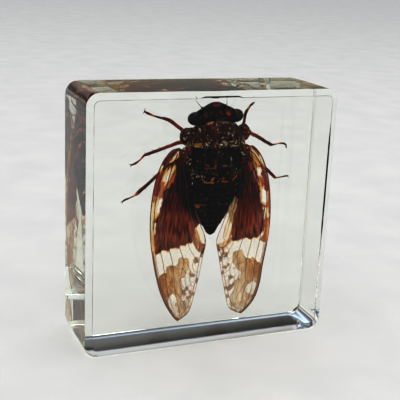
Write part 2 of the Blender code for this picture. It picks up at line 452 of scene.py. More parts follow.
def eye_material():
    """Dark eyes with the fine facets of a compound eye."""
    eye = Surface("compound_eye", 0.3, 0.15)
    where = eye.add("TexCoord").outputs["Object"]
    facets = eye.add("TexVoronoi", {"Vector": where, "Scale": 9000, "Randomness": 0.35})
    eye.bump(facets.outputs["Distance"], 0.02)
    return eye.set({"Base Color": eye.ramp(eye.noise(500, 3), (0.3, EYE_DARK),
                                           (0.75, EYE_PALE))})


def resin_material():
    resin = Surface("clear_resin", 0.0, 0.5)
    absorb = resin.add("VolumeAbsorption", {"Color": (*RESIN_TINT, 1.0),
                                            "Density": RESIN_DENSITY})
    output = resin.tree.nodes["Material Output"]
    resin.feed(output.inputs, {"Volume": absorb.outputs[0]})
    return resin.set({"Base Color": (1.0, 1.0, 1.0, 1.0), "IOR": RESIN_IOR,
                      "Transmission Weight": 1.0})


def edge_shade_and_glint_material():
    """Painted shade and painted highlight in a fine line along the front face's edge.
    Its paint's alpha is its strength.
    """
    line = Surface("edge_shade_and_glint", 0.6, 0.1)
    colour, alpha = line.pigment((2500, 3), (0.35, (0.6, 0.6, 0.6)),
                                 (0.65, (1.5, 1.4, 1.3)))
    return line.set({"Base Color": colour, "Alpha": alpha})


def floor_material():
    """Plain matt card, very slightly uneven."""
    card = Surface("floor", 0.9, 0.2)
    return card.set({"Base Color": card.ramp(card.noise(60, 4), (0.3, CARD_DARK),
                                             (0.7, CARD_PALE))})


# ---------------------------------------------------------------- resin

def depth_edges(shape):
    """The edges that run from front to back."""
    return [e for e in shape.edges
            if abs((e.verts[0].co - e.verts[1].co).normalized().y) > SAME_WAY]


def resin_block():
    """One clear block with chamfered edges and sides rounded a little by polishing."""
    shape = bmesh.new()
    depth = BLOCK_DEPTH - FRONT_CHAMFER_ON_SIDE - BACK_CHAMFER_ON_SIDE
    middle = (FRONT_CHAMFER_ON_SIDE - BACK_CHAMFER_ON_SIDE) / 2
    centre = Vector((0, middle, BLOCK_HEIGHT / 2))
    bmesh.ops.create_cube(
        shape, size=1.0,
        matrix=Matrix.Translation(centre)
        @ Matrix.Diagonal((BLOCK_WIDTH, depth, BLOCK_HEIGHT, 1)))
    bmesh.ops.bevel(shape, geom=depth_edges(shape), offset=CORNER_RADIUS,
                    offset_type="OFFSET", segments=CORNER_SEGMENTS, profile=0.5,
                    affect="EDGES")
    bmesh.ops.subdivide_edges(shape, edges=depth_edges(shape), cuts=SIDE_STRIPS - 1)
    for vertex in shape.verts:
        shift = vertex.co - centre
        part = 2 * shift.y / depth
        shrink = 1 - SIDE_CAMBER * part ** 2 / (BLOCK_WIDTH / 2)
        vertex.co.x = centre.x + shift.x * shrink
        vertex.co.z = centre.z + shift.z * shrink
    for outward, inset, rise in (
            (-1, FRONT_CHAMFER_ON_FACE, FRONT_CHAMFER_ON_SIDE),
            (1, BACK_CHAMFER_ON_FACE, BACK_CHAMFER_ON_SIDE)):
        shape.normal_update()
        face = [f for f in shape.faces if f.normal.y * outward > SAME_WAY]
        bmesh.ops.inset_region(shape, faces=face, thickness=inset,
                               depth=0.0, use_even_offset=True)
        raised = {v for f in face for v in f.verts}
        bmesh.ops.translate(shape, verts=list(raised), vec=(0, outward * rise, 0))
    mesh = bpy.data.meshes.new("resin_block")
    shape.to_mesh(mesh)
    shape.free()
    obj = add_object("resin_block", mesh)
    mesh.shade_smooth()
    bevel = obj.modifiers.new("edges", "BEVEL")
    bevel.limit_method = "ANGLE"
    bevel.angle_limit = EDGE_ANGLE
    bevel.width = EDGE_ROUND
    bevel.segments = EDGE_SEGMENTS
    normals = obj.modifiers.new("normals", "WEIGHTED_NORMAL")
    normals.weight = 100
    normals.keep_sharp = False
    mesh.materials.append(resin_material())
    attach(obj, "root")
    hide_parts("resin_front", "resin_back")
    obj.visible_shadow = False


# The edge line, painted shade with a painted highlight in place of how the front face's
# # edge bends light: its thickness and strength with their changes, and its streaks, as
# # (middle, half length, soft end) in mm: a streak of painted shade and one of painted
# # highlight on the right side, by height, and a raised streak of painted shade at the
# # top, by place across
EDGE_SHADE_STEPS = 400
EDGE_SHADE_SIDES = 6
EDGE_SHADE_RADIUS = 0.045
EDGE_SHADE_GREY = 0.035
SHADE_STREAK, SHADE_SWELL = (31, 10.5, 6), 0.14
GLINT_STREAK, GLINT_SWELL = (11, 6, 5), 0.11
TOP_STREAK, TOP_SWELL, TOP_RISE = (0.3, 3.8, 1.2), 0.1, 0.24


def streak(places, middle, half_length, soft_end):
    return soft(np.abs(places - middle) - half_length, soft_end)


def edge_shade_and_glint():
    """A fine line round the front face, where it meets its chamfer: painted shade, with
    a painted highlight low on the right side.
    """
    inset = FRONT_CHAMFER_ON_FACE / MM
    half, corner = BLOCK_WIDTH / MM / 2 - inset, CORNER_RADIUS / MM - inset
    top_height = BLOCK_HEIGHT / MM - inset
    corners = []
    for quarter in range(4):
        start = quarter * math.pi / 2
        x = math.copysign(half - corner, math.cos(start + math.pi / 4))
        z = math.copysign(half - corner, math.sin(start + math.pi / 4))
        corners += [(x + corner * math.cos(angle), z + corner * math.sin(angle))
                    for angle in np.linspace(start, start + math.pi / 2, 9)]
    x, z = evenly(np.array(corners + corners[:1]), EDGE_SHADE_STEPS).T
    z = z + BLOCK_HEIGHT / MM / 2
    right = soft(half - x - 0.1, 0.2)
    dark = right * streak(z, *SHADE_STREAK)
    light = right * streak(z, *GLINT_STREAK)
    top = soft(top_height - z - 0.2, 0.2) * streak(x, *TOP_STREAK)
    path = np.stack([x, 0 * x - BLOCK_DEPTH / MM / 2, z + TOP_RISE * top], axis=1)
    radii = (EDGE_SHADE_RADIUS + SHADE_SWELL * dark + GLINT_SWELL * light
             + TOP_SWELL * top)
    strength = 0.42 + 0.5 * noise_at(path, 0.35, 3.0) + 0.5 * (dark + light + top)
    strength, light = (np.append(np.repeat(row, EDGE_SHADE_SIDES), row[[0, -1]])
                       for row in (strength, light))
    # The line's colour: a dark grey of painted shade, turned pale along the painted
    # highlight streak
    grey = np.repeat(EDGE_SHADE_GREY + 0.9 * light[:, None], 3, axis=1)
    colours = np.column_stack([grey, np.clip(strength, 0.1, 0.9)])
    obj = painted_object("edge_shade_and_glint", (*tube(path, radii, EDGE_SHADE_SIDES), colours),
                         edge_shade_and_glint_material())
    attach(obj, "root")


# ---------------------------------------------------------------- wings

# A wing's chart: distance out from the insect's middle line, and height, in mm.
FOREWING_COSTAL_MARGIN = (
    (6.9, 38.75), (7.9, 38.55), (8.7, 38.0), (10.0, 36.4), (11.1, 34.0), (11.9, 31.0),
    (12.4, 27.5), (12.6, 23.5), (12.4, 20.0), (12.0, 17.0), (11.4, 13.6),
    (10.6, 10.4), (9.5, 7.6), (8.4, 5.6), (7.5, 4.3), (6.9, 3.75))
FOREWING_INNER_MARGIN = (
    (6.9, 38.75), (5.4, 37.6), (4.7, 34.5), (4.2, 31.0), (3.6, 26.8), (2.4, 23.4),
    (1.4, 20.8), (1.2, 19.2), (1.7, 17.0), (2.2, 14.2), (2.9, 11.0), (3.6, 8.2),
    (4.2, 6.2), (4.7, 5.2), (5.7, 4.4), (6.9, 3.75))
HINDWING_COSTAL_MARGIN = (
    (6.6, 37.3), (7.4, 35.8), (7.9, 33.8), (8.7, 31.0), (9.4, 28.2), (9.6, 25.6),
    (9.2, 23.2), (8.2, 21.8), (7.2, 21.3))
HINDWING_INNER_MARGIN = (
    (6.6, 37.3), (4.6, 36.0), (3.8, 31.6), (3.4, 27.0), (4.0, 23.6), (5.6, 21.8),
    (7.2, 21.3))

# Colours of the membrane
CLEAR = srgb(252, 226, 172)
MAROON = srgb(66, 16, 13)
BLACKISH = srgb(26, 9, 10)
BODY_BLACK = srgb(12, 10, 16)
BROWN_CLOUD = srgb(206, 138, 62)
PALE_BROWN = srgb(238, 194, 122)
DEEP_BROWN = srgb(150, 90, 38)
AMBER = srgb(246, 176, 66)
ORANGE = srgb(204, 100, 24)
RIM_AMBER = srgb(214, 142, 58)
RED_BROWN = srgb(138, 42, 16)
YELLOW = srgb(255, 224, 124)
OLIVE = srgb(226, 200, 104)
DARK_SPOT = srgb(116, 60, 22)
DEEP_AMBER = srgb(176, 96, 34)
SPOT_BROWN = srgb(158, 98, 42)
TIP_GREY = srgb(214, 180, 128)
TIP_PALE = srgb(240, 210, 152)
GLOW_BROWN = srgb(164, 76, 42)
STREAK_BROWN = srgb(170, 80, 44)
PLUM = srgb(96, 40, 48)
HINDWING_BROWN = srgb(118, 56, 26)
VEIN_DARK = srgb(64, 36, 20)
HINDWING_VEIN = srgb(120, 62, 28)

# Colours of the forewing's veins: the kind's own, and what it fades to, as (height
# where the fade starts, height where it ends, colour)
VEIN_COLOURS = {
    "amber": (srgb(156, 96, 38), ((21, 25, srgb(120, 44, 16)),)),
    "inner": (srgb(170, 96, 36), ((24, 27, srgb(52, 18, 14)),)),
    "dark": (VEIN_DARK, ((19.5, 20.5, srgb(60, 20, 14)),)),
}
CLOUD_VEINS = ("radial", "media", "media_fork")
CLOUD_VEIN_FADE = (15.6, 14.6, srgb(128, 76, 36))
COSTA_FADE = (19.0, 15.5, srgb(92, 54, 28))

# How far the painted outlines sway and tremble, with the scale of each noise, the
# noise's seeds, and points of the mesh along and across a wing
SWAY, SWAY_SCALE = 0.16, 1.3
TREMBLE, TREMBLE_SCALE = 0.07, 4.0
FOREWING_SEEDS = {"left": 3.0, "right": 11.0}
HINDWING_SEED = 21
FOREWING_GRID = (330, 112)
HINDWING_GRID = (120, 60)

# Lift of the veins over the chart's plane, and of those along the forewing's edges
VEIN_LIFT = 0.1
EDGE_VEIN_LIFT = 0.12
EDGE_VEINS = ("costa", "anal", "inner_edge")
HINDWING_VEIN_LIFT = 0.03
VEIN_SIDES = 8

# The membrane's arch with its lower end and length, how far it swells between veins,
# and the gap that this takes
ARCH = 0.12
ARCH_SPAN = (4, 34)
SWELL = 0.05
SWELL_GAP = 0.5

# Where the forewing's fine streaks meet, how fine they are across and along, and
# slopes between its zones, as (where it starts, over how much, negative downwards or
# inwards): the cloud pales inwards, the front strip reddens, the glow ends at its top,
# foot and inner side, the dark half blackens, the rim starts. Last is the height that
# the amber fringe stays below.
STREAK_ROOT = (6.2, 44.0)
STREAK_FINENESS, STREAK_STRETCH = 40, 0.35
INNER_PALE = (8.4, -3)
RED_STRIP = (30.5, 2)
GLOW_TOP = (28.0, -5)
GLOW_FOOT = (19.4, 2.6)
GLOW_INNER_END = (2.6, 1.6)
BLACKENING = (26.5, 5)
RIM_TOP = (19.0, -0.8)
FRINGE_TOP = 21.5

# Outlines of the dark half, of the part of it beside the abdomen that is as black as
# the body, of the brown cloud, and of the clear slot at the tip
DARK_ZONE = {
    "left": (
        (11.7, 24.5), (11.65, 21.0), (11.5, 18.1), (10.6, 18.5), (10.3, 19.0),
        (9.4, 18.8), (8.9, 18.5), (8.6, 19.1), (7.6, 19.2), (6.8, 19.0), (6.5, 19.5),
        (5.4, 19.3), (4.9, 19.9), (4.4, 19.7), (3.9, 20.2), (3.6, 21.5), (3.3, 22.6),
        (2.6, 23.4), (1.8, 23.2), (1.8, 26.0), (3.4, 31.0), (4.4, 38.0), (6.3, 39.0),
        (8.4, 35.6), (9.4, 31.6), (10.2, 29.4), (10.9, 26.2)),
    "right": (
        (11.6, 24.0), (11.7, 22.3), (11.3, 21.3), (10.6, 20.4), (9.9, 19.7),
        (9.2, 19.9), (8.5, 19.5), (7.5, 20.0), (6.5, 19.8), (5.4, 19.5), (4.5, 19.6),
        (4.2, 20.6), (4.2, 22.2), (4.5, 24.4), (5.2, 26.8), (4.6, 29.5), (4.0, 31.0),
        (4.9, 38.0), (6.0, 39.2), (7.4, 37.6), (8.4, 34.4), (9.6, 31.6), (10.3, 28.5),
        (10.9, 26.0)),
}
BODY_SHADE = {
    "left": (
        (7.0, 34.8), (7.3, 32.6), (7.5, 31.0), (7.0, 29.4), (6.4, 28.0), (5.5, 26.4),
        (4.3, 25.0), (3.0, 23.9), (2.0, 23.2), (1.0, 23.0), (1.0, 30.0), (3.6, 37.0)),
    "right": (
        (6.8, 33.6), (7.0, 31.0), (6.4, 29.4), (5.8, 28.2), (5.0, 27.0), (4.1, 26.0),
        (3.4, 25.1), (2.6, 24.0), (1.0, 24.0), (1.0, 30.0), (3.6, 36.6)),
}
CLOUD = {
    "left": (
        (11.6, 12.6), (11.0, 13.1), (10.6, 13.8), (10.2, 14.1), (9.3, 14.2),
        (9.2, 15.4), (8.6, 15.6), (7.9, 15.5), (7.4, 15.3), (6.9, 16.0), (6.7, 16.8),
        (6.2, 17.1), (5.8, 16.7), (5.1, 16.8), (4.7, 16.1), (4.5, 15.1), (4.8, 14.2),
        (5.3, 13.8), (5.6, 12.7), (6.1, 12.8), (6.4, 12.0), (6.2, 10.8), (5.8, 10.2),
        (6.0, 8.9), (5.6, 7.9), (4.6, 7.9), (4.0, 6.9), (4.4, 5.6), (5.6, 4.2),
        (6.8, 3.6), (9.0, 5.6), (11.6, 11.0)),
    "right": (
        (11.8, 13.2), (11.3, 13.7), (10.8, 14.4), (10.2, 14.5), (9.8, 15.0),
        (9.2, 15.7), (8.7, 15.4), (7.8, 15.6), (7.2, 16.2), (6.9, 17.1), (6.5, 17.6),
        (6.0, 17.4), (5.4, 17.4), (4.9, 16.8), (4.7, 16.0), (5.0, 14.9), (5.5, 13.9),
        (5.9, 13.4), (6.5, 13.2), (6.6, 12.4), (6.1, 11.5), (5.4, 11.2), (5.0, 10.2),
        (5.3, 9.0), (4.5, 7.6), (4.6, 6.2), (5.4, 4.8), (6.6, 3.6), (9.0, 5.6),
        (11.8, 11.0)),
}
CLEAR_SLOT = {
    "left": ((9.0, 8.3), (8.5, 9.2), (8.0, 9.7), (7.4, 9.1), (7.0, 8.5), (7.1, 7.8),
             (7.6, 7.5), (7.2, 6.2), (6.5, 4.5), (6.8, 4.6), (7.8, 5.8), (8.6, 7.1)),
    "right": ((9.1, 10.5), (8.1, 9.9), (7.5, 8.8), (7.8, 8.0), (8.5, 7.9),
              (8.8, 7.4), (8.2, 6.3), (8.0, 5.6), (8.7, 6.2), (9.7, 7.3),
              (10.3, 8.4), (10.0, 9.7)),
}

# A paler patch of the cloud, as a spot, the slope by which the cloud pales to the
# tip, the fine dark lines in the clear slot, and the dark end of the wing
PALE_PATCH = {"left": (4.9, 7.0, 0.9, 0.8), "right": (5.6, 8.6, 1.3, 2.4, -0.4)}
PALE_BELOW = {"left": (9.4, -3.6), "right": (12.4, -5.0)}
SLOT_LINES = {
    "left": (((8.9, 8.7), (7.8, 6.2)), ((8.5, 9.1), (6.9, 5.1))),
    "right": (((9.2, 9.5), (8.2, 7.5)), ((9.7, 9.3), (8.6, 6.9))),
}
TIP_LINE = ((6.2, 4.2), (5.1, 4.9), (4.3, 5.6))

# The strip between the dark half and the front edge, where amber shines through
COSTAL_STRIP = (
    (6.0, 39.6), (7.2, 37.2), (7.6, 35.4), (8.2, 33.4), (9.3, 31.0), (10.1, 28.9),
    (10.7, 26.2), (11.2, 22.4), (11.3, 18.6), (12.8, 18.2), (13.3, 25.0),
    (12.8, 31.0), (11.0, 36.4), (8.8, 39.4))

# Cells along the front edge and the inner edge: outline, colour, alpha
EDGE_CELLS = {
    "left": (
        (((7.1, 38.2), (7.6, 37.8), (8.6, 36.5), (8.8, 36.0), (8.0, 36.1),
          (6.8, 37.1)), AMBER, 0.85),
        (((7.3, 37.7), (8.2, 36.7), (8.3, 36.3), (7.6, 36.7)), YELLOW, 0.6),
        (((7.7, 35.6), (8.5, 35.0), (9.5, 34.3), (10.2, 33.1), (10.4, 32.3),
          (9.9, 31.4), (8.9, 32.4), (8.1, 33.8), (7.4, 34.9)), AMBER, 0.88),
        (((7.9, 35.1), (8.9, 34.6), (9.8, 33.6), (10.2, 32.6), (9.8, 31.9),
          (9.0, 32.8), (8.3, 34.0)), YELLOW, 0.6),
        (((7.4, 34.5), (7.9, 32.4), (9.1, 31.1), (9.9, 30.9), (9.0, 32.0),
          (8.0, 33.6)), ORANGE, 0.95),
        (((10.9, 29.8), (11.3, 29.7), (12.0, 28.2), (12.3, 26.0), (11.8, 25.3),
          (11.0, 25.9), (10.3, 28.1), (10.2, 29.2)), AMBER, 0.85),
        (((11.1, 29.3), (11.8, 28.0), (12.1, 26.2), (11.6, 25.9), (11.3, 27.4)),
         YELLOW, 0.6),
        (((10.2, 29.1), (10.8, 29.1), (11.2, 27.1), (11.3, 26.2), (10.8, 26.7),
          (10.2, 28.4)), CLEAR, 0.14),
        (((3.5, 22.1), (3.1, 22.6), (2.5, 21.1), (2.1, 19.6), (1.3, 19.2),
          (1.3, 18.4), (1.7, 17.8), (2.6, 17.6), (3.2, 18.4), (3.8, 19.5),
          (4.0, 20.7)), DEEP_AMBER, 0.9),
        (((3.2, 22.7), (1.8, 22.9), (1.4, 20.7), (1.5, 19.9), (2.2, 19.8),
          (2.7, 21.2)), CLEAR, 0.4),
        (((1.2, 19.3), (1.6, 17.2), (2.3, 17.2), (1.8, 18.2)), VEIN_DARK, 0.95),
    ),
    "right": (
        (((7.2, 38.9), (8.7, 38.7), (10.2, 37.2), (10.7, 35.2), (10.2, 36.0),
          (9.2, 37.2), (7.8, 38.4)), MAROON, 0.97),
        (((7.8, 38.2), (8.3, 37.6), (9.6, 36.2), (10.4, 34.7), (10.0, 34.4),
          (8.7, 35.4), (8.0, 36.5)), AMBER, 0.85),
        (((7.9, 37.6), (9.2, 36.4), (10.1, 35.0), (9.9, 34.8), (8.9, 35.8),
          (8.2, 36.6)), YELLOW, 0.6),
        (((9.6, 36.7), (10.5, 36.6), (11.2, 35.0), (11.1, 33.9), (10.6, 34.2),
          (10.0, 35.2), (9.5, 36.0)), YELLOW, 0.5),
        (((7.2, 35.6), (8.1, 35.2), (8.4, 33.4), (7.7, 33.6)), RED_BROWN, 0.97),
        (((9.0, 34.2), (10.1, 34.2), (10.6, 33.0), (10.1, 31.9), (9.4, 32.6)),
         AMBER, 0.8),
        (((9.2, 33.9), (10.0, 33.9), (10.3, 33.0), (10.0, 32.3), (9.6, 32.8)),
         CLEAR, 0.25),
        (((10.8, 30.3), (11.8, 29.0), (12.1, 27.2), (11.6, 26.2), (10.6, 26.7),
          (10.1, 28.1), (10.2, 29.6)), AMBER, 0.85),
        (((10.9, 29.9), (11.6, 28.8), (11.8, 27.3), (11.4, 26.6), (10.8, 27.2),
          (10.5, 28.3), (10.5, 29.4)), CLEAR, 0.12),
        (((10.9, 25.9), (12.1, 25.8), (12.3, 23.7), (11.3, 23.4)), YELLOW, 0.62),
        (((10.8, 19.8), (12.0, 20.6), (12.1, 18.6), (11.0, 18.8), (10.3, 19.2)),
         DEEP_AMBER, 0.93),
        (((5.3, 27.9), (4.7, 26.7), (4.2, 25.3), (3.9, 23.6), (4.3, 21.6),
          (3.8, 20.2), (2.9, 19.8), (3.1, 22.6), (3.7, 24.8), (4.5, 26.8)),
         YELLOW, 0.5),
        (((3.4, 19.9), (4.4, 20.8), (4.3, 19.4), (3.4, 18.2), (2.6, 17.4),
          (1.5, 18.2), (1.4, 19.2), (2.4, 19.4)), AMBER, 0.75),
    ),
}

# Lines and streaks there: path, width, colour, alpha
EDGE_LINES = {
    "left": (
        (((6.7, 38.6), (8.2, 37.6), (9.3, 36.4), (10.0, 35.4)), 0.85, MAROON, 0.97),
        (((8.4, 37.0), (9.6, 35.6)), 0.25, RED_BROWN, 0.97),
        (((7.0, 38.0), (8.1, 36.7)), 0.2, YELLOW, 0.5),
        (((6.3, 37.0), (7.6, 36.3), (8.7, 35.7), (10.0, 35.0)), 0.48, MAROON, 0.98),
        (((10.25, 35.4), (10.5, 34.7)), 0.5, YELLOW, 0.55),
        (((8.2, 35.2), (9.0, 33.8), (9.8, 32.2)), 0.1, ORANGE, 0.9),
        (((8.8, 35.0), (9.8, 33.0)), 0.07, ORANGE, 0.9),
        (((8.4, 34.4), (9.0, 33.2), (9.4, 32.5)), 0.3, CLEAR, 0.2),
        (((10.9, 33.4), (11.2, 31.6), (11.4, 30.2)), 1.0, RED_BROWN, 0.97),
        (((10.1, 32.2), (10.4, 30.8), (10.6, 29.7)), 0.75, ORANGE, 0.93),
        (((10.5, 32.6), (10.8, 30.6)), 0.1, MAROON, 0.95),
        (((12.1, 26.2), (12.3, 24.8), (12.3, 23.0)), 0.6, OLIVE, 0.75),
        (((12.0, 28.6), (12.4, 26.0), (12.5, 22.0)), 0.18, YELLOW, 0.5),
        (((11.2, 29.7), (11.6, 27.8), (11.85, 25.4), (11.8, 22.0)), 0.14,
         RED_BROWN, 0.93),
        (((10.0, 29.4), (10.45, 27.6), (10.95, 25.9)), 0.16, ORANGE, 0.95),
        (((12.15, 23.0), (12.1, 20.8), (11.9, 18.9)), 0.6, AMBER, 0.8),
        (((11.6, 24.4), (11.7, 22.4)), 0.22, YELLOW, 0.5),
        (((1.5, 22.2), (1.35, 19.6)), 0.16, VEIN_DARK, 0.95),
        (((3.4, 22.6), (2.9, 21.0), (2.5, 19.8)), 0.2, AMBER, 0.9),
        (((3.3, 21.4), (2.9, 20.0), (2.7, 18.4)), 0.26, AMBER, 0.88),
        (((3.8, 21.0), (3.5, 19.6), (3.0, 18.3)), 0.14, RED_BROWN, 0.95),
        (((1.5, 19.1), (2.4, 18.9), (2.6, 18.0)), 0.22, RED_BROWN, 0.93),
    ),
    "right": (
        (((8.2, 37.3), (9.4, 35.8), (10.2, 34.6)), 0.08, ORANGE, 0.93),
        (((8.0, 36.8), (9.6, 35.0)), 0.08, RED_BROWN, 0.93),
        (((9.5, 36.6), (10.0, 35.2), (10.7, 33.9)), 0.14, RED_BROWN, 0.95),
        (((10.1, 36.2), (10.6, 34.8)), 0.07, ORANGE, 0.9),
        (((8.5, 33.4), (9.2, 31.8), (9.7, 30.6)), 0.32, ORANGE, 0.95),
        (((8.5, 32.7), (8.8, 31.3)), 0.5, PLUM, 0.97),
        (((10.6, 33.0), (11.2, 31.2), (11.6, 29.6)), 0.9, RED_BROWN, 0.96),
        (((10.4, 32.6), (10.9, 30.9)), 0.12, ORANGE, 0.95),
        (((11.6, 32.6), (12.2, 29.4), (12.5, 26.4), (12.6, 23.4)), 0.3,
         RED_BROWN, 0.96),
        (((12.1, 28.6), (12.25, 26.4), (12.4, 23.8)), 0.14, ORANGE, 0.95),
        (((10.3, 27.1), (10.9, 26.25), (12.0, 26.2)), 0.18, RED_BROWN, 0.95),
        (((11.2, 25.9), (11.5, 24.2), (11.8, 22.8)), 0.2, RED_BROWN, 0.95),
        (((12.0, 23.4), (12.0, 20.6), (11.8, 18.9)), 0.8, ORANGE, 0.93),
        (((12.3, 22.8), (12.2, 19.4)), 0.2, AMBER, 0.85),
        (((5.4, 28.0), (4.5, 26.5), (3.8, 25.0), (3.2, 23.2), (2.8, 21.6),
          (2.5, 20.2)), 0.2, ORANGE, 0.93),
        (((4.6, 26.4), (3.9, 24.4), (3.6, 22.6)), 0.08, ORANGE, 0.9),
        (((4.3, 21.8), (4.0, 20.4), (3.4, 19.4)), 0.4, ORANGE, 0.9),
        (((1.4, 19.1), (2.3, 18.3), (3.2, 18.7), (4.3, 20.0)), 0.22, VEIN_DARK, 0.92),
        (((1.5, 18.6), (1.8, 17.8)), 0.4, DARK_SPOT, 0.92),
        (((2.3, 18.3), (2.8, 17.2), (2.2, 16.2)), 0.26, DARK_SPOT, 0.9),
        (((3.2, 18.7), (3.9, 17.7), (3.6, 16.5)), 0.18, DEEP_AMBER, 0.9),
        (((1.6, 16.7), (2.2, 16.2), (3.4, 16.5)), 0.26, DARK_SPOT, 0.9),
    ),
}

# Small marks of the outer half: brown patches first, then clear cells in them.
# Each is (out, height, half width, half height), with a lean where it has one.
BROWN_SPOTS = {
    "left": (
        (3.1, 16.0, 0.56, 0.73), (2.0, 16.8, 0.31, 0.35), (2.4, 18.0, 0.5, 0.4),
        (3.9, 13.0, 0.59, 0.33, 0.3), (4.4, 13.3, 0.26, 0.45),
        (2.9, 11.7, 0.33, 0.68), (5.0, 10.4, 0.38, 0.45), (5.5, 9.6, 0.45, 0.73),
        (4.3, 9.5, 0.28, 0.88, -0.1), (3.6, 9.0, 0.35, 0.49), (4.6, 8.4, 0.68, 0.47),
        (3.6, 7.0, 0.24, 0.40), (5.1, 6.5, 0.94, 0.71), (5.9, 7.5, 0.47, 0.71)),
    "right": (
        (2.0, 18.8, 0.54, 0.49), (1.6, 18.1, 0.35, 0.54), (3.0, 17.0, 0.73, 0.47),
        (2.2, 15.9, 0.54, 0.47), (1.7, 15.5, 0.33, 0.33), (3.2, 14.1, 0.66, 0.42),
        (2.6, 13.0, 0.35, 0.53), (3.9, 14.6, 0.35, 0.35), (3.3, 9.7, 0.45, 0.47),
        (4.4, 11.7, 0.71, 0.59), (4.4, 10.0, 0.68, 1.06, -0.5),
        (3.9, 7.8, 0.47, 0.40), (5.4, 5.4, 0.38, 0.54)),
}
CLEAR_SPOTS = {
    "left": (
        (2.9, 15.1, 0.35, 0.33), (3.2, 13.2, 0.24, 0.49), (3.9, 12.2, 0.40, 0.42),
        (5.7, 11.4, 0.45, 0.71, -0.3), (4.7, 11.8, 0.40, 0.88, -0.2),
        (3.7, 10.8, 0.26, 0.66), (3.0, 10.6, 0.31, 0.54), (4.9, 9.6, 0.45, 0.31),
        (4.4, 10.4, 0.19, 0.45, -0.2), (5.7, 8.3, 0.31, 0.47, 0.2),
        (3.8, 8.0, 0.26, 0.56), (4.5, 7.1, 0.24, 0.35)),
    "right": (
        (1.8, 17.0, 0.47, 0.31), (3.4, 16.1, 0.47, 0.13, -0.5),
        (1.5, 14.8, 0.38, 0.47), (2.7, 15.0, 0.66, 0.26), (3.8, 13.8, 0.31, 0.38),
        (2.9, 13.6, 0.21, 0.33), (3.9, 12.8, 0.40, 0.49), (3.7, 11.7, 0.35, 0.49),
        (5.2, 12.9, 0.59, 0.92), (6.3, 12.2, 0.31, 0.82), (2.8, 11.3, 0.45, 0.82),
        (4.7, 11.0, 0.35, 0.64, -0.5), (3.9, 10.4, 0.21, 0.45, -0.3),
        (3.8, 8.8, 0.28, 0.40), (5.4, 7.1, 0.24, 0.78), (6.6, 4.9, 0.54, 0.26)),
}

# Veins of the forewing: name, path, thickness at the root and at the tip, kind
FOREWING_VEINS = (
    ("costa", tuple(FOREWING_COSTAL_MARGIN[1:]), 0.26, 0.10, "amber"),
    ("subcosta", ((7.3, 37.9), (9.2, 36.0), (10.7, 32.8), (11.5, 29.0), (11.8, 25.0),
                  (11.8, 21.4), (11.4, 17.0), (10.7, 13.2), (9.8, 9.6), (8.5, 6.4)),
     0.18, 0.08, "amber"),
    ("radial", ((11.2, 25.6), (10.9, 22.4), (10.5, 18.7), (10.0, 16.4), (9.7, 14.3),
                (9.3, 12.0), (8.9, 9.8), (8.1, 7.2), (7.2, 5.0)), 0.16, 0.07, "dark"),
    ("media", ((7.2, 37.6), (8.6, 34.0), (9.6, 30.0), (9.7, 26.0), (9.2, 22.0),
               (8.7, 18.8), (8.2, 16.8), (7.95, 15.4), (7.7, 13.0), (7.5, 10.4),
               (6.9, 7.4), (6.4, 5.0)), 0.2, 0.07, "dark"),
    ("media_fork", ((9.2, 31.0), (8.4, 27.0), (7.5, 22.8), (6.7, 19.4), (6.1, 17.4),
                    (5.7, 16.2), (6.0, 14.6), (6.3, 12.4), (6.0, 10.0), (5.4, 7.4)),
     0.16, 0.07, "dark"),
    ("cubitus", ((6.8, 37.0), (6.7, 33.0), (6.4, 28.6), (5.7, 23.6), (4.8, 19.4),
                 (4.1, 17.8), (3.4, 16.8), (2.9, 15.6)), 0.18, 0.07, "dark"),
    ("cubitus_fork", ((6.3, 28.0), (6.6, 25.2), (6.2, 22.0), (5.6, 20.0)),
     0.13, 0.08, "dark"),
    ("claval", ((6.4, 36.2), (5.4, 31.6), (4.9, 27.6), (4.0, 24.0), (3.3, 21.4),
                (2.7, 19.4), (2.5, 18.2)), 0.18, 0.09, "inner"),
    ("anal", tuple(FOREWING_INNER_MARGIN[1:9]), 0.2, 0.12, "inner"),
    ("inner_edge", tuple(FOREWING_INNER_MARGIN[7:]), 0.10, 0.08, "amber"),
    ("ambient", ((2.1, 17.6), (2.6, 15.2), (2.9, 13.2), (3.5, 10.6), (4.2, 8.2),
                 (5.0, 6.2), (6.2, 4.9), (7.0, 4.9)), 0.12, 0.1, "amber"),
    ("cross_1", ((9.75, 14.5), (8.9, 14.9), (8.0, 15.5)), 0.09, 0.08, "amber"),
    ("cross_2", ((7.95, 15.4), (7.0, 14.7), (6.0, 14.6)), 0.10, 0.09, "amber"),
    ("cross_3", ((5.75, 16.2), (5.0, 15.4), (4.5, 14.4), (4.2, 13.2)),
     0.10, 0.08, "amber"),
    ("cross_4", ((5.95, 14.7), (5.3, 13.8), (4.8, 13.4)), 0.09, 0.08, "amber"),
    ("cell_1", ((4.5, 14.3), (3.8, 13.3), (3.0, 12.9)), 0.09, 0.07, "amber"),
    ("cell_2", ((4.2, 13.2), (4.5, 12.0), (4.1, 10.9), (3.5, 10.4)),
     0.09, 0.07, "amber"),
    ("cell_3", ((5.3, 13.8), (5.4, 12.2), (5.2, 10.8), (4.5, 9.4), (3.9, 9.0)),
     0.09, 0.07, "amber"),
    ("cell_4", ((6.3, 12.3), (5.7, 10.6), (5.1, 8.8), (4.5, 7.6)),
     0.09, 0.07, "amber"),
    ("cell_5", ((7.5, 10.5), (6.8, 9.2), (6.0, 8.0), (5.4, 6.8), (5.0, 6.2)),
     0.09, 0.07, "amber"),
    ("cell_6", ((3.4, 16.8), (3.9, 15.2), (3.6, 14.0), (2.9, 13.4)),
     0.09, 0.07, "amber"),
)
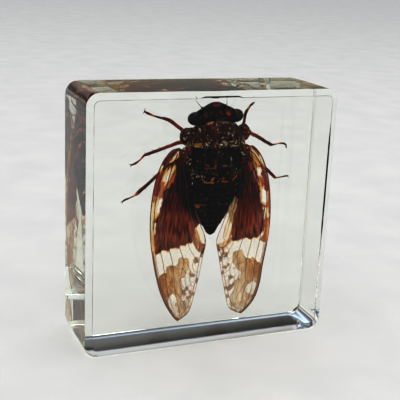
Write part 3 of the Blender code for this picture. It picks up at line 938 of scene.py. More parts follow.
HINDWING_VEINS = (
    (tuple(HINDWING_COSTAL_MARGIN), 0.2, 0.1),
    (((6.8, 36.4), (7.6, 33.0), (8.6, 28.6), (8.8, 24.4)), 0.16, 0.08),
    (((6.6, 36.4), (7.1, 32.0), (7.7, 27.0), (7.7, 23.0)), 0.15, 0.08),
    (((6.4, 36.4), (6.8, 31.0), (6.9, 26.0), (6.6, 22.6)), 0.15, 0.08),
    (((6.2, 36.2), (5.8, 31.0), (5.5, 26.6), (5.2, 23.4)), 0.15, 0.08),
    (((6.0, 36.0), (4.9, 31.6), (4.5, 27.6), (4.4, 24.6)), 0.14, 0.08),
)


def chart_to_block(points, side, plane):
    """Chart places (out, height, lift) as places in the block."""
    swing = WING_SWING[side]
    run, rise = points[:, 0] - WING_BASE[0], points[:, 1] - WING_BASE[1]
    if side == "right":
        inner = TIP_INNER[0] + TIP_LEAN * (TIP_INNER[1] - points[:, 1])
        low = slope(points[:, 1], TIP_FROM, -TIP_OVER)
        run = run + TIP_SPREAD * low ** 2 * (points[:, 0] - inner)
    out = WING_BASE[0] + run * math.cos(swing) + rise * math.sin(swing)
    height = WING_BASE[1] + rise * math.cos(swing) - run * math.sin(swing)
    mirror = -1.0 if side == "left" else 1.0
    return np.stack([WINGS_X + mirror * (out + WING_SHIFT[side]),
                     plane - points[:, 2], height], axis=1)


def camber(points, veins):
    """How far the membrane stands out towards the back between its veins."""
    near = np.min([line_distance(points, smooth_path(path, 4)) for path in veins],
                  axis=0)
    arch = ARCH * np.sin(slope(points[:, 1], *ARCH_SPAN) * math.pi)
    return arch + SWELL * np.clip(near / SWELL_GAP, 0, 1) ** 2


def sheet_points(costal, inner, rows, columns):
    """A grid over the membrane, from the inner margin to the costal one."""
    costal, inner = smooth_path(costal, 12), smooth_path(inner, 12)
    top, tip = costal[0, 1], costal[-1, 1]
    part = np.linspace(0, 1, rows)
    part = 0.6 * part + 0.4 * (0.5 - 0.5 * np.cos(math.pi * part))
    height = top + (tip - top) * part
    far = np.interp(-height, -costal[:, 1], costal[:, 0])
    near = np.interp(-height, -inner[:, 1], inner[:, 0])
    across = np.linspace(0, 1, columns)[None, :]
    out = near[:, None] + (far - near)[:, None] * across
    return np.stack([out.ravel(), np.repeat(height, columns)], axis=1)


def streak_space(points):
    """Places in which noise makes fine streaks that fan out from the wing's base."""
    run, fall = points[:, 0] - STREAK_ROOT[0], STREAK_ROOT[1] - points[:, 1]
    spread = np.arctan2(run, fall) * STREAK_FINENESS
    along = np.hypot(run, fall) * STREAK_STRETCH
    return np.stack([spread, 0 * spread, along], axis=1)


def spot_distance(points, spot):
    """Distance in mm from points to an oval, about right near its edge."""
    out, height, half_width, half_height, *lean = spot
    lean = lean[0] if lean else 0.0
    run, rise = points[:, 0] - out, points[:, 1] - height
    turned_run = run * math.cos(lean) + rise * math.sin(lean)
    turned_rise = rise * math.cos(lean) - run * math.sin(lean)
    size = min(half_width, half_height)
    return (np.hypot(turned_run / half_width, turned_rise / half_height) - 1) * size


def paint_cloud(colours, points, moved, flat, sway, side, seed):
    """The brown cloud, darker towards its rim and with fine long flows in it."""
    gap = patch_distance(moved, CLOUD[side])
    cloud = soft(gap, 0.16)
    lay(colours, cloud, BROWN_CLOUD, 0.93)
    flow = noise_at(flat * [2.4, 1, 0.7] + sway[:, None] * 0.8, 0.9, seed + 5)
    lay(colours, cloud * np.clip(flow * 1.5, 0, 0.55), PALE_BROWN, 0.78)
    lay(colours, cloud * np.clip(-flow * 1.4, 0, 0.5), DEEP_BROWN, 0.9)
    lay(colours, cloud * slope(points[:, 0], *INNER_PALE, 0.4), PALE_BROWN, 0.72)
    outer = line_distance(points, smooth_path(FOREWING_COSTAL_MARGIN[2:], 4))
    lay(colours, cloud * np.clip(1 - outer / 2.6, 0, 0.75), DEEP_BROWN, 0.93)
    lay(colours, cloud * np.clip(1 + gap / 0.3, 0, 1) * 0.45, DEEP_BROWN, 0.9)
    pale = spot_distance(moved, PALE_PATCH[side])
    lay(colours, cloud * soft(pale + 0.5, 1.4) * 0.7, PALE_BROWN, 0.62)
    return cloud, outer


def paint_spots(colours, points, moved, side):
    """The small marks of the outer half, and the clear slot at the tip."""
    for spot in BROWN_SPOTS[side]:
        lay(colours, soft(spot_distance(moved, spot), 0.24) * 0.95, SPOT_BROWN, 0.86)
    for spot in CLEAR_SPOTS[side]:
        gap = spot_distance(moved, spot)
        lay(colours, groove(gap - 0.05, 0.09) * 0.4, SPOT_BROWN, 0.8)
        lay(colours, soft(gap, 0.16), CLEAR, 0.22)
    lay(colours, soft(patch_distance(moved, CLEAR_SLOT[side]), 0.14), CLEAR, 0.22)
    for path in SLOT_LINES[side]:
        lay(colours, soft(line_distance(points, path) - 0.04, 0.08), VEIN_DARK, 0.85)


def paint_tip(colours, points, cloud, flat, side, seed):
    """The tip: greyer and paler, dappled, with a dark end."""
    tip = slope(points[:, 1], *PALE_BELOW[side]) * cloud
    lay(colours, tip * 0.45, TIP_GREY, 0.72)
    dapple = noise_at(flat * [1.6, 1, 0.9], 1.2, seed + 7)
    lay(colours, tip * np.clip(dapple * 3.2, 0, 0.75), TIP_PALE, 0.5)
    end = line_distance(points, TIP_LINE)
    lay(colours, soft(end - 0.12, 0.2) * 0.8, VEIN_DARK, 0.92)


def paint_dark_half(colours, points, moved, side, seed):
    """The dark basal half, with an amber fringe below it and an amber front strip."""
    out, height = points.T
    fan = streak_space(points)
    grain = noise_at(fan, 1.0, seed + 9)
    fine = noise_at(fan * [3.8, 1, 1.3], 1.0, seed + 2)
    edge = patch_distance(moved, DARK_ZONE[side])
    below = height < FRINGE_TOP
    lay(colours, np.where(below, soft(edge - 0.3, 0.4), 0) * 0.8, YELLOW, 0.5)
    lay(colours, np.where(below, soft(edge - 0.14, 0.2), 0), ORANGE, 0.88)
    strip = soft(patch_distance(moved, COSTAL_STRIP), 0.2)
    lay(colours, strip, ORANGE, 0.93)
    lay(colours, strip * slope(height, *RED_STRIP), RED_BROWN, 0.96)
    lay(colours, strip * np.clip(fine * 2.6, 0, 0.8), AMBER, 0.88)
    lay(colours, strip * np.clip(-fine * 2.6, 0, 0.8), MAROON, 0.96)
    dark = soft(edge, 0.14)
    lay(colours, dark, MAROON, 0.985)
    glow = slope(height, *GLOW_TOP)
    glow *= np.clip(0.45 + 0.55 * (height - GLOW_FOOT[0]) / GLOW_FOOT[1], 0, 1)
    glow *= slope(out, *GLOW_INNER_END)
    lay(colours, dark * glow * np.clip(0.55 + grain * 1.1 + fine * 0.9, 0, 1),
        GLOW_BROWN, 0.96)
    lay(colours, dark * slope(height, *BLACKENING, 0.85) * np.clip(0.8 - grain, 0, 1),
        BLACKISH, 0.99)
    lay(colours, dark * np.clip(fine * 1.8 - 0.3, 0, 0.5), STREAK_BROWN, 0.95)
    shade = patch_distance(moved, BODY_SHADE[side]) - 0.5 * fine
    lay(colours, dark * soft(shade, 0.9), BODY_BLACK, 0.995)


def paint_edges(colours, points, moved, cloud, outer, side):
    """Cells and lines along the front and inner edges, and the outer half's rim."""
    for outline, colour, alpha in EDGE_CELLS[side]:
        lay(colours, soft(patch_distance(moved, outline), 0.16), colour, alpha)
    for path, width, colour, alpha in EDGE_LINES[side]:
        gap = line_distance(moved, smooth_path(path, 4)) - width / 2
        lay(colours, soft(gap, 0.15), colour, alpha)
    lower = slope(points[:, 1], *RIM_TOP)
    lay(colours, lower * soft(outer - 0.42, 0.2), DARK_SPOT, 0.93)
    lay(colours, lower * soft(outer - 0.5, 0.6) * cloud * 0.7, DARK_SPOT, 0.93)
    lay(colours, lower * soft(np.abs(outer - 0.26) - 0.03, 0.1), RIM_AMBER, 0.85)


def wing_colours(points, side):
    """Pigment of the forewing, worked out from its zones, marks and spots."""
    seed = FOREWING_SEEDS[side]
    flat = np.stack([points[:, 0], 0 * points[:, 0], points[:, 1]], axis=1)
    sway = noise_at(flat, SWAY_SCALE, seed)
    tremble = noise_at(flat * [1, 1, 0.5], TREMBLE_SCALE, seed)
    moved = points + SWAY * np.stack([sway, np.roll(sway, 7)], axis=1)
    moved += TREMBLE * np.stack([tremble, tremble], axis=1)
    colours = plain(points, CLEAR, 0.3)
    cloud, outer = paint_cloud(colours, points, moved, flat, sway, side, seed)
    paint_spots(colours, points, moved, side)
    paint_tip(colours, points, cloud, flat, side, seed)
    paint_dark_half(colours, points, moved, side, seed)
    paint_edges(colours, points, moved, cloud, outer, side)
    return colours


def vein_shape(path, side, plane, lift, root, tip, colour, fades=()):
    """One vein, tapering from its root to its tip."""
    flat = even_path(path, max(12, int(4 * len(path))))
    chart = np.column_stack([flat, np.full(len(flat), lift)])
    centre = chart_to_block(chart, side, plane)
    radii = np.linspace(root, tip, len(flat)) / 2
    radii = radii * (1 + 0.12 * noise_at(centre, 2.0, 4.0))
    points, faces = tube(centre, radii, VEIN_SIDES, 0.8)
    colours = plain(points, colour, 1.0)
    heights = np.append(np.repeat(flat[:, 1], VEIN_SIDES), flat[[0, -1], 1])
    for low, high, tone in fades:
        lay(colours, slope(heights, low, high - low), tone)
    return points, faces, colours


def forewing(side, membrane, vein):
    flat = sheet_points(FOREWING_COSTAL_MARGIN, FOREWING_INNER_MARGIN, *FOREWING_GRID)
    chart = np.column_stack([flat, camber(flat, [row[1] for row in FOREWING_VEINS])])
    insect_piece("forewing_" + side,
                 (chart_to_block(chart, side, WING_PLANE), grid_faces(*FOREWING_GRID),
                  wing_colours(flat, side)), membrane)
    shapes = []
    for name, path, root, tip, kind in FOREWING_VEINS:
        colour, fades = VEIN_COLOURS[kind]
        if name in CLOUD_VEINS:
            fades = (CLOUD_VEIN_FADE,) + fades
        if name == "costa":
            fades = fades + (COSTA_FADE,)
        lift = EDGE_VEIN_LIFT if name in EDGE_VEINS else VEIN_LIFT
        shapes.append(vein_shape(path, side, WING_PLANE, lift, root, tip, colour,
                                 fades))
    insect_piece("forewing_veins_" + side, join(shapes), vein)


def hindwing(side, membrane, vein):
    flat = sheet_points(HINDWING_COSTAL_MARGIN, HINDWING_INNER_MARGIN, *HINDWING_GRID)
    arch = 0.6 * camber(flat, [row[0] for row in HINDWING_VEINS])
    points = chart_to_block(np.column_stack([flat, arch]), side, HINDWING_PLANE)
    colours = plain(points, HINDWING_BROWN, 0.9)
    spread = np.column_stack([flat[:, 0], 0 * flat[:, 0], flat[:, 1]])
    blotch = noise_at(spread * [1, 1, 0.4], 0.8, HINDWING_SEED)
    lay(colours, np.clip(blotch * 2 + 0.4, 0, 1), MAROON, 0.97)
    insect_piece("hindwing_" + side, (points, grid_faces(*HINDWING_GRID), colours),
                 membrane)
    shapes = [vein_shape(path, side, HINDWING_PLANE, HINDWING_VEIN_LIFT, root, tip,
                         HINDWING_VEIN)
              for path, root, tip in HINDWING_VEINS]
    insect_piece("hindwing_veins_" + side, join(shapes), vein)


# ---------------------------------------------------------------- head and body

HEAD_TILT = math.radians(2.8)
HEAD_CENTRE = (HEAD_X, 44.3)
BLACK = srgb(12, 9, 11)
BLUE_BLACK = srgb(7, 11, 18)
DARK_BROWN = srgb(34, 16, 14)
PURPLE_BROWN = srgb(46, 20, 28)
COLLAR_BROWN = srgb(46, 25, 21)
LOBE_BROWN = srgb(52, 24, 22)

# Cross-sections: height, half width, depth to the back, depth to the belly
HEAD_SECTIONS = (
    (47.05, 0.15, 0.15, 0.2), (46.95, 0.8, 0.8, 0.9), (46.6, 1.6, 1.4, 1.6),
    (46.2, 2.4, 1.75, 2.0), (45.75, 3.3, 1.95, 2.15), (45.2, 4.1, 2.1, 2.2),
    (44.5, 4.5, 2.25, 2.2), (43.8, 4.6, 2.25, 2.1), (43.2, 4.3, 2.1, 1.9),
    (42.7, 3.6, 1.9, 1.7), (42.2, 2.8, 1.6, 1.5), (41.9, 1.2, 1.0, 1.0))
PRONOTUM_SECTIONS = (
    (43.75, 1.6, 1.7, 1.4), (43.6, 2.9, 2.4, 1.8), (43.2, 3.5, 2.75, 2.2),
    (42.6, 4.2, 3.15, 2.6), (41.8, 4.9, 3.5, 3.0), (40.9, 5.5, 3.8, 3.4),
    (40.1, 5.85, 3.98, 3.7), (39.5, 6.0, 4.1, 3.9), (39.15, 6.05, 4.22, 4.0),
    (38.85, 6.0, 4.2, 4.0), (38.7, 5.7, 3.9, 3.9), (38.6, 4.4, 3.2, 3.2))
MESONOTUM_SECTIONS = (
    (39.6, 4.6, 3.2, 3.4), (39.0, 5.4, 3.85, 3.9), (38.0, 5.9, 4.1, 4.2),
    (36.6, 6.1, 4.3, 4.35), (35.0, 6.05, 4.3, 4.35), (33.6, 5.7, 4.1, 4.3),
    (32.6, 5.2, 3.85, 4.1), (31.8, 4.6, 3.7, 3.9), (31.4, 3.8, 3.45, 3.6),
    (31.2, 2.4, 2.6, 2.8))
ABDOMEN_SECTIONS = (
    (32.4, 4.8, 3.0, 3.3), (31.6, 5.5, 3.5, 3.8), (30.6, 5.65, 3.7, 3.9),
    (29.4, 5.45, 3.7, 3.75), (27.9, 4.95, 3.3, 3.3), (26.6, 4.3, 2.75, 2.75),
    (25.3, 3.5, 2.1, 2.15), (23.9, 2.55, 1.45, 1.5), (22.5, 1.65, 0.95, 1.0),
    (21.3, 0.85, 0.55, 0.6), (20.8, 0.3, 0.2, 0.25))

# Grooves on each side: place from the middle at a height, that height, lean, width,
# lower end, depth. Then the pronotum's rear rim, its keel's end and the top of the
# mesonotum's cross, as heights, and the scale of the noise that roughens the chitin
PRONOTUM_GROOVES = (
    (1.2, 43.0, 0.75, 0.16, 40.2, 0.2),
    (3.2, 42.6, 0.9, 0.18, 40.0, 0.18),
)
SUTURE = (2.55, 38.5, 0.18, 0.1, 34.6, 0.12)
PRONOTUM_RIM = 40.05
KEEL_END = 40.2
CROSS_TOP = 34.0
SKIN_SCALE = 2.2

# Rear edges of the abdomen's rings
TERGITE_EDGES = (31.0, 29.8, 28.6, 27.45, 26.3, 25.2, 24.1, 23.0)


def roughen(shape, centre, amount, seed):
    """Push the points out from the body's middle line by a fine noise."""
    points, faces = shape
    way = (points - [*centre, 0]) * [1, 1, 0]
    way /= np.linalg.norm(way, axis=1)[:, None] + 1e-6
    skin = (noise_at(points, SKIN_SCALE, seed)
            + 0.5 * noise_at(points, SKIN_SCALE * 2.6, seed + 3))
    return points + way * (amount * skin)[:, None], faces


def groove(distance, width):
    """1 in the middle of a groove, and 0 well outside it."""
    return np.exp(-(distance / width) ** 2)


def on_back(y):
    """1 on the back, falling to 0 at the body's sides."""
    return np.clip(-y / 1.5, 0, 1)


def side_groove(x, z, place, height, lean, width, end):
    """A groove on each side, at its place at a height, which leans outwards below."""
    return groove(np.abs(x) - place - lean * (height - z), width) * (z > end)


def pronotum_relief(x, y, z):
    """Oblique grooves, a middle keel and a raised rim along the rear edge."""
    rise = 0
    for *line, depth in PRONOTUM_GROOVES:
        rise = rise - depth * side_groove(x, z, *line)
    rim = groove(z - PRONOTUM_RIM, 0.13)
    keel = groove(x, 0.35) * (z > KEEL_END)
    return on_back(y) * (rise - 0.24 * rim + 0.1 * keel)


def mesonotum_relief(x, y, z):
    """Sutures, and the cross-shaped rise at the rear."""
    arm_up = groove(np.abs(x) - 0.35 - 0.9 * np.clip(33.6 - z, 0, 2), 0.32)
    cross = arm_up * slope(z, CROSS_TOP, -0.5)
    notch = groove(np.hypot(x / 1.4, z - 33.9), 0.55)
    *line, depth = SUTURE
    return on_back(y) * (-depth * side_groove(x, z, *line) + 0.22 * cross
                         - 0.16 * notch)


def abdomen_relief(x, y, z):
    """Each ring widens to its rear edge and overlaps the next."""
    rise = 0 * z
    for front, rear in zip((32.6,) + TERGITE_EDGES, TERGITE_EDGES + (21.0,)):
        inside = (z <= front) & (z > rear)
        part = (front - z) / (front - rear)
        rise = np.where(inside, 0.15 * part ** 2 - 0.05, rise)
    keel = groove(x, 0.5) * np.clip(-y, 0, 1)
    return rise + 0.06 * keel


# Marks on the back: path, width, colour on screen
MESONOTUM_MARKS = (
    (((-1.2, 34.85), (0.75, 34.9)), 0.18, (140, 82, 42)),
    (((0.72, 34.9), (0.85, 35.5)), 0.3, (152, 84, 46)),
    (((0.85, 35.5), (0.68, 36.3)), 0.18, (112, 54, 32)),
    (((-1.15, 35.3), (-0.4, 35.4)), 0.12, (110, 62, 40)),
    (((-1.0, 34.6), (-0.95, 33.9)), 0.18, (98, 58, 34)),
    (((2.45, 35.25), (3.1, 35.2)), 0.34, (134, 88, 66)),
    (((3.1, 35.0), (3.75, 34.95), (4.15, 35.3)), 0.22, (84, 40, 34)),
    (((4.15, 35.3), (4.2, 34.2)), 0.1, (104, 78, 84)),
    (((-1.1, 32.0), (0.65, 31.9)), 0.26, (170, 112, 62)),
    (((0.2, 32.2), (0.7, 32.9)), 0.3, (150, 92, 44)),
    (((2.45, 32.9), (2.6, 32.1)), 0.3, (150, 96, 46)),
    (((2.6, 32.05), (3.6, 31.95)), 0.26, (186, 106, 62)),
    (((1.62, 32.15),), 0.22, (190, 150, 150)),
    (((4.95, 32.15), (5.85, 32.85)), 0.34, (176, 72, 44)),
    (((-1.3, 38.4), (-1.3, 36.6), (-1.2, 35.2)), 0.08, (84, 72, 74)),
    (((1.45, 37.95),), 0.2, (196, 160, 168)),
    (((4.05, 36.7), (4.1, 36.2)), 0.16, (186, 190, 206)),
    (((3.9, 35.9), (4.6, 34.9)), 0.07, (90, 90, 96)),
    (((-4.45, 38.0), (-3.85, 37.0)), 0.4, (136, 118, 84)),
    (((1.0, 38.8), (1.25, 37.4), (0.8, 36.2)), 0.12, (74, 34, 50)),
    (((1.5, 38.8), (1.9, 36.8)), 0.1, (60, 30, 46)),
    (((-3.6, 34.9), (-2.6, 33.4)), 0.12, (92, 74, 60)),
    (((-2.3, 33.25),), 0.34, (150, 130, 92)),
    (((-1.6, 33.3), (-1.5, 32.6), (-0.9, 32.1)), 0.1, (170, 150, 120)),
    (((4.6, 34.6), (5.6, 33.4)), 0.07, (96, 84, 88)),
)
PRONOTUM_MARKS = (
    (((-2.9, 39.3), (-2.2, 39.45)), 0.6, (158, 104, 44)),
    (((-3.0, 38.95), (-2.5, 38.95)), 0.3, (186, 152, 92)),
    (((-0.6, 43.2), (0.25, 43.5)), 0.36, (164, 122, 80)),
    (((0.0, 43.0), (0.2, 42.3)), 0.22, (130, 52, 40)),
    (((1.0, 43.5), (3.4, 43.3)), 0.45, (84, 60, 46)),
    (((2.6, 43.5), (3.4, 43.2)), 0.24, (116, 94, 74)),
    (((-3.9, 41.95), (-3.75, 41.45)), 0.22, (184, 150, 108)),
    (((3.25, 41.5), (3.45, 41.2)), 0.26, (180, 160, 156)),
    (((4.2, 41.1), (4.3, 40.8)), 0.22, (188, 170, 168)),
    (((-2.2, 42.2), (-2.1, 41.9)), 0.2, (186, 170, 168)),
    (((2.3, 39.9), (2.9, 39.5)), 0.5, (150, 138, 112)),
    (((4.4, 38.95), (5.3, 38.9)), 0.22, (186, 192, 160)),
    (((0.9, 42.8), (0.9, 41.4)), 0.8, (72, 34, 34)),
)
HEAD_MARKS = (
    (((3.4, 45.1), (3.65, 44.9)), 0.6, (150, 66, 32)),
    (((3.2, 45.5), (3.9, 45.3)), 0.5, (70, 30, 24)),
    (((-1.1, 45.1), (-1.0, 44.6)), 0.7, (62, 34, 44)),
    (((0.7, 46.6), (1.8, 46.7)), 0.55, (88, 32, 50)),
    (((1.9, 45.3), (2.1, 45.0)), 0.34, (74, 34, 46)),
    (((-0.1, 45.2), (0.1, 45.0)), 0.3, (70, 56, 62)),
    (((0.9, 43.9), (2.4, 43.8)), 0.16, (100, 60, 56)),
)
ABDOMEN_MARKS = (
    (((-2.15, 27.2), (-1.8, 26.95)), 0.55, (168, 92, 56)),
    (((-2.5, 27.5), (-1.3, 27.45)), 0.2, (140, 76, 48)),
    (((-1.4, 27.5), (-0.3, 27.5)), 0.14, (92, 84, 62)),
)


def painted(shape, ground, flecks, marks, belly=None):
    """Colour a shape: its ground, then marks on its back. Alpha holds the flecks."""
    points, faces = shape
    colours = plain(points, ground)
    cloud = noise_at(points, 0.8, 5.0)
    lay(colours, np.clip(cloud * 1.6, 0, 0.6), DARK_BROWN)
    sway = 0.08 * noise_at(points, 2.4, 8.0)
    moved = points[:, [0, 2]] + np.stack([sway, -sway], axis=1)
    back = points[:, 1] < BODY_Y
    for path, width, colour in marks:
        gap = line_distance(moved, path) - width / 2
        lay(colours, np.where(back, soft(gap, 0.24), 0), srgb(*colour))
    if belly is not None:
        lay(colours, slope(points[:, 1], BODY_Y, 1.5, 0.8), belly)
    colours[:, 3] = flecks(points) if callable(flecks) else flecks
    return points, faces, colours


def rear_band(points):
    """Flecks of the pronotum: thick on its rear rim, thinner in front."""
    rim = groove(points[:, 2] - 39.3, 0.7)
    patchy = np.clip(0.75 + 0.9 * noise_at(points, 0.9, 12.0), 0.2, 1)
    return np.clip(0.3 + 0.55 * rim * patchy, 0, 0.9)


def mesonotum_flecks(points):
    """Flecks of the mesonotum: along its rear and its sides."""
    rear = groove(points[:, 2] - 33.2, 1.0)
    side = slope(np.abs(points[:, 0] - BODY_X), 3.0, 2.5)
    return np.clip(0.45 * rear + 0.22 * side, 0, 0.7)


# The body's pieces, from front to rear: name, sections, middle, points along and
# around, fullness, relief, unevenness, its seed, colour, flecks, marks, belly colour
BODY_PIECES = (
    ("head", HEAD_SECTIONS, HEAD_MIDDLE, 90, 150, 2.0, None, 0.06, 1.0,
     BLACK, 0.0, HEAD_MARKS, PURPLE_BROWN),
    ("pronotum", PRONOTUM_SECTIONS, COLLAR_MIDDLE, 130, 190, 2.1, pronotum_relief,
     0.10, 2.0, COLLAR_BROWN, rear_band, PRONOTUM_MARKS, DARK_BROWN),
    ("mesonotum", MESONOTUM_SECTIONS, BODY_MIDDLE, 130, 190, 2.15, mesonotum_relief,
     0.04, 3.0, BLUE_BLACK, mesonotum_flecks, MESONOTUM_MARKS, DARK_BROWN),
    ("abdomen", ABDOMEN_SECTIONS, BODY_MIDDLE, 190, 170, 2.0, abdomen_relief,
     0.05, 4.0, BLUE_BLACK, 0.0, ABDOMEN_MARKS, DARK_BROWN),
)

# The pronotum's side lobes, and the lighter spot on each: places from the middle
LOBE_REACH, LOBE_Y, LOBE_HEIGHT, LOBE_RISE = 5.75, 0.5, 40.75, 0.2
LOBE_RADII = (1.5, 1.35, 1.7)
LOBE_SPOT = (6.0, -0.9, 40.3)
LOBE_SPOT_COLOURS = {-1: srgb(46, 26, 26), 1: srgb(96, 42, 32)}


def body(chitin):
    for (name, sections, middle, along, around, fullness, relief, uneven, seed,
         ground, flecks, marks, belly) in BODY_PIECES:
        shape = lofted(sections, middle, along, around, fullness, relief)
        points, faces = roughen(shape, middle, uneven, seed)
        if name == "head":
            points = turned(points, HEAD_CENTRE, HEAD_TILT)
        insect_piece(name, painted((points, faces), ground, flecks, marks, belly),
                     chitin)
    lobes = []
    for side, tone in LOBE_SPOT_COLOURS.items():
        centre = (COLLAR_X + side * LOBE_REACH, LOBE_Y, LOBE_HEIGHT + LOBE_RISE * side)
        lobe = ball(centre, LOBE_RADII, 44, 60, 0.06, side * 4.0)
        points, faces, colours = painted(lobe, LOBE_BROWN, 0.5, ())
        out, y, z = LOBE_SPOT
        spot = np.linalg.norm(points - [COLLAR_X + side * out, y, z], axis=1)
        lay(colours, soft(spot - 1.1, 1.2), tone)
        lobes.append((points, faces, colours))
    insect_piece("pronotum_lobes", join(lobes), chitin)


# Eyes: reach from the head's middle, height, radii. Ocelli: places, radii, colour
EYE_REACH, EYE_HEIGHT, EYE_RADII = 4.1, 44.15, (1.6, 1.3, 1.3)
OCELLI = ((1.65, -2.0, 45.35), (1.05, -2.1, 44.75), (2.25, -2.1, 44.8))
OCELLUS_RADII = (0.17, 0.14, 0.17)
OCELLUS_RED = srgb(88, 34, 30)


def eyes(chitin, facets):
    shapes = []
    for reach in (-EYE_REACH, EYE_REACH):
        centre = (HEAD_X + reach * math.cos(HEAD_TILT), HEAD_Y,
                  EYE_HEIGHT + reach * math.sin(HEAD_TILT))
        shapes.append(tinted(ball(centre, EYE_RADII, 60, 80), (0, 0, 0), 1.0))
    insect_piece("compound_eyes", join(shapes), facets)
    ocelli = [tinted(ball(centre, OCELLUS_RADII, 16, 20), OCELLUS_RED)
              for centre in OCELLI]
    insect_piece("ocelli", join(ocelli), chitin)


# ---------------------------------------------------------------- legs and feelers

# Points from root to claw joint, the thickness at each, and the claws as (tip,
# thickness)
LEGS = {
    "foreleg_left": (
        ((-1.0, 2.2, 40.2), (-4.0, 2.4, 41.2), (-4.9, 2.4, 41.8), (-5.6, 2.5, 42.3),
         (-7.1, 2.5, 43.4), (-8.4, 2.6, 43.9), (-8.75, 2.6, 43.95), (-10.0, 2.7, 44.3),
         (-11.6, 2.7, 44.95), (-12.1, 2.8, 45.25)),
        (0.8, 0.8, 0.56, 0.56, 0.6, 0.5, 0.36, 0.3, 0.42, 0.24),
        (((-12.1, 2.8, 45.9), 0.12), ((-12.4, 2.9, 44.8), 0.12))),
    "midleg_left": (
        ((-1.0, 2.6, 38.6), (-4.6, 2.6, 39.2), (-6.9, 2.6, 38.6), (-9.0, 2.7, 37.9),
         (-11.6, 2.7, 37.1), (-11.95, 2.8, 36.95), (-12.8, 2.8, 36.1),
         (-13.6, 2.9, 35.5), (-14.4, 2.9, 35.2)),
        (0.8, 0.7, 0.56, 0.54, 0.52, 0.36, 0.28, 0.38, 0.24),
        (((-14.95, 2.9, 35.3), 0.12), ((-14.65, 2.9, 34.8), 0.12))),
    "hindleg_left": (
        ((-1.0, 2.8, 36.8), (-4.8, 2.8, 36.1), (-6.1, 2.8, 35.4), (-7.3, 2.8, 34.5),
         (-9.1, 2.9, 33.1), (-11.1, 2.9, 31.3), (-12.6, 2.9, 30.1),
         (-13.2, 2.9, 29.55), (-13.6, 3.0, 29.25), (-14.6, 3.0, 28.8),
         (-15.5, 3.0, 28.5), (-16.0, 3.0, 28.2)),
        (0.8, 0.72, 0.6, 0.56, 0.54, 0.56, 0.66, 0.62, 0.3, 0.24, 0.34, 0.22),
        (((-16.4, 3.0, 28.0), 0.1), ((-16.1, 3.0, 27.8), 0.1))),
    "foreleg_right": (
        ((4.0, 2.2, 40.2), (7.2, 2.4, 41.6), (8.0, 2.4, 42.5), (8.2, 2.5, 43.4),
         (8.3, 2.5, 44.2), (8.55, 2.6, 44.8), (8.75, 2.6, 45.1), (9.4, 2.7, 45.95),
         (9.75, 2.7, 46.2), (10.0, 2.8, 46.4)),
        (0.8, 0.8, 0.52, 0.48, 0.5, 0.56, 0.44, 0.36, 0.42, 0.22),
        (((10.2, 2.8, 46.52), 0.12), ((10.3, 2.8, 46.25), 0.1))),
    "midleg_right": (
        ((4.0, 2.6, 39.6), (9.0, 2.6, 40.7), (9.7, 2.6, 40.45), (11.3, 2.6, 39.7),
         (12.9, 2.7, 38.75), (14.2, 2.7, 38.05), (14.6, 2.7, 37.95),
         (15.2, 2.8, 38.0), (16.1, 2.8, 38.15), (17.1, 2.8, 38.1), (17.7, 2.9, 37.8)),
        (0.8, 0.74, 0.6, 0.6, 0.56, 0.52, 0.36, 0.26, 0.24, 0.32, 0.28),
        (((17.85, 2.9, 36.95), 0.16), ((17.6, 2.9, 37.1), 0.1))),
    "hindleg_right": (
        ((4.0, 2.8, 37.4), (9.8, 2.8, 36.0), (11.6, 2.8, 34.8), (13.4, 2.9, 33.3),
         (14.4, 2.9, 32.4), (15.3, 2.9, 31.55), (15.8, 2.9, 31.15),
         (16.2, 2.9, 31.1), (17.2, 3.0, 31.2), (18.3, 3.0, 31.35)),
        (0.8, 0.66, 0.54, 0.5, 0.5, 0.56, 0.5, 0.26, 0.22, 0.3),
        (((18.95, 3.0, 31.4), 0.12), ((18.9, 3.0, 30.9), 0.1))),
}
FEELERS = {
    "feeler_left": ((-1.0, 0.2, 45.7), (-1.45, 0.2, 46.05), (-1.95, 0.2, 46.55),
                    (-2.7, 0.2, 47.38)),
    "feeler_right": ((3.1, 0.2, 45.9), (3.6, 0.2, 46.5), (3.65, 0.2, 46.9),
                     (3.62, 0.2, 47.38)),
}
LEG_TONE = srgb(136, 58, 36)
LEG_DARK = srgb(84, 38, 26)
LEG_BAND = srgb(206, 124, 60)
FEELER_BROWN = srgb(34, 22, 22)

# Legs: points along and around, where the leg turns dark and its pale bands, as
# parts of its length (band: place and width, strength)
LEG_STEPS, LEG_SIDES = 90, 12
LEG_DARK_FROM, LEG_DARK_OVER = 0.42, 0.2
LEG_BANDS = ((0.22, 0.05, 0.5), (0.86, 0.035, 1.0))
CLAW_BEND = (0.06, 0.02, 0.08)
CLAW_TIP = 0.03

# Spines of the middle and hind legs: their places along the leg, reach past the
# leg's skin, lean towards the claws, and radii from root to tip
SPINES = np.linspace(0.45, 0.76, 7)
SPINE_REACH, SPINE_LEAN = 0.3, 0.22
SPINE_RADII = np.linspace(0.07, 0.015, 5)

# A feeler's thickness, as (part of its length, thickness)
FEELER_STEPS = 40
FEELER_TAPER = ((0, 0.5), (0.12, 0.46), (0.16, 0.36), (0.26, 0.3), (0.3, 0.14),
                (1.0, 0.07))


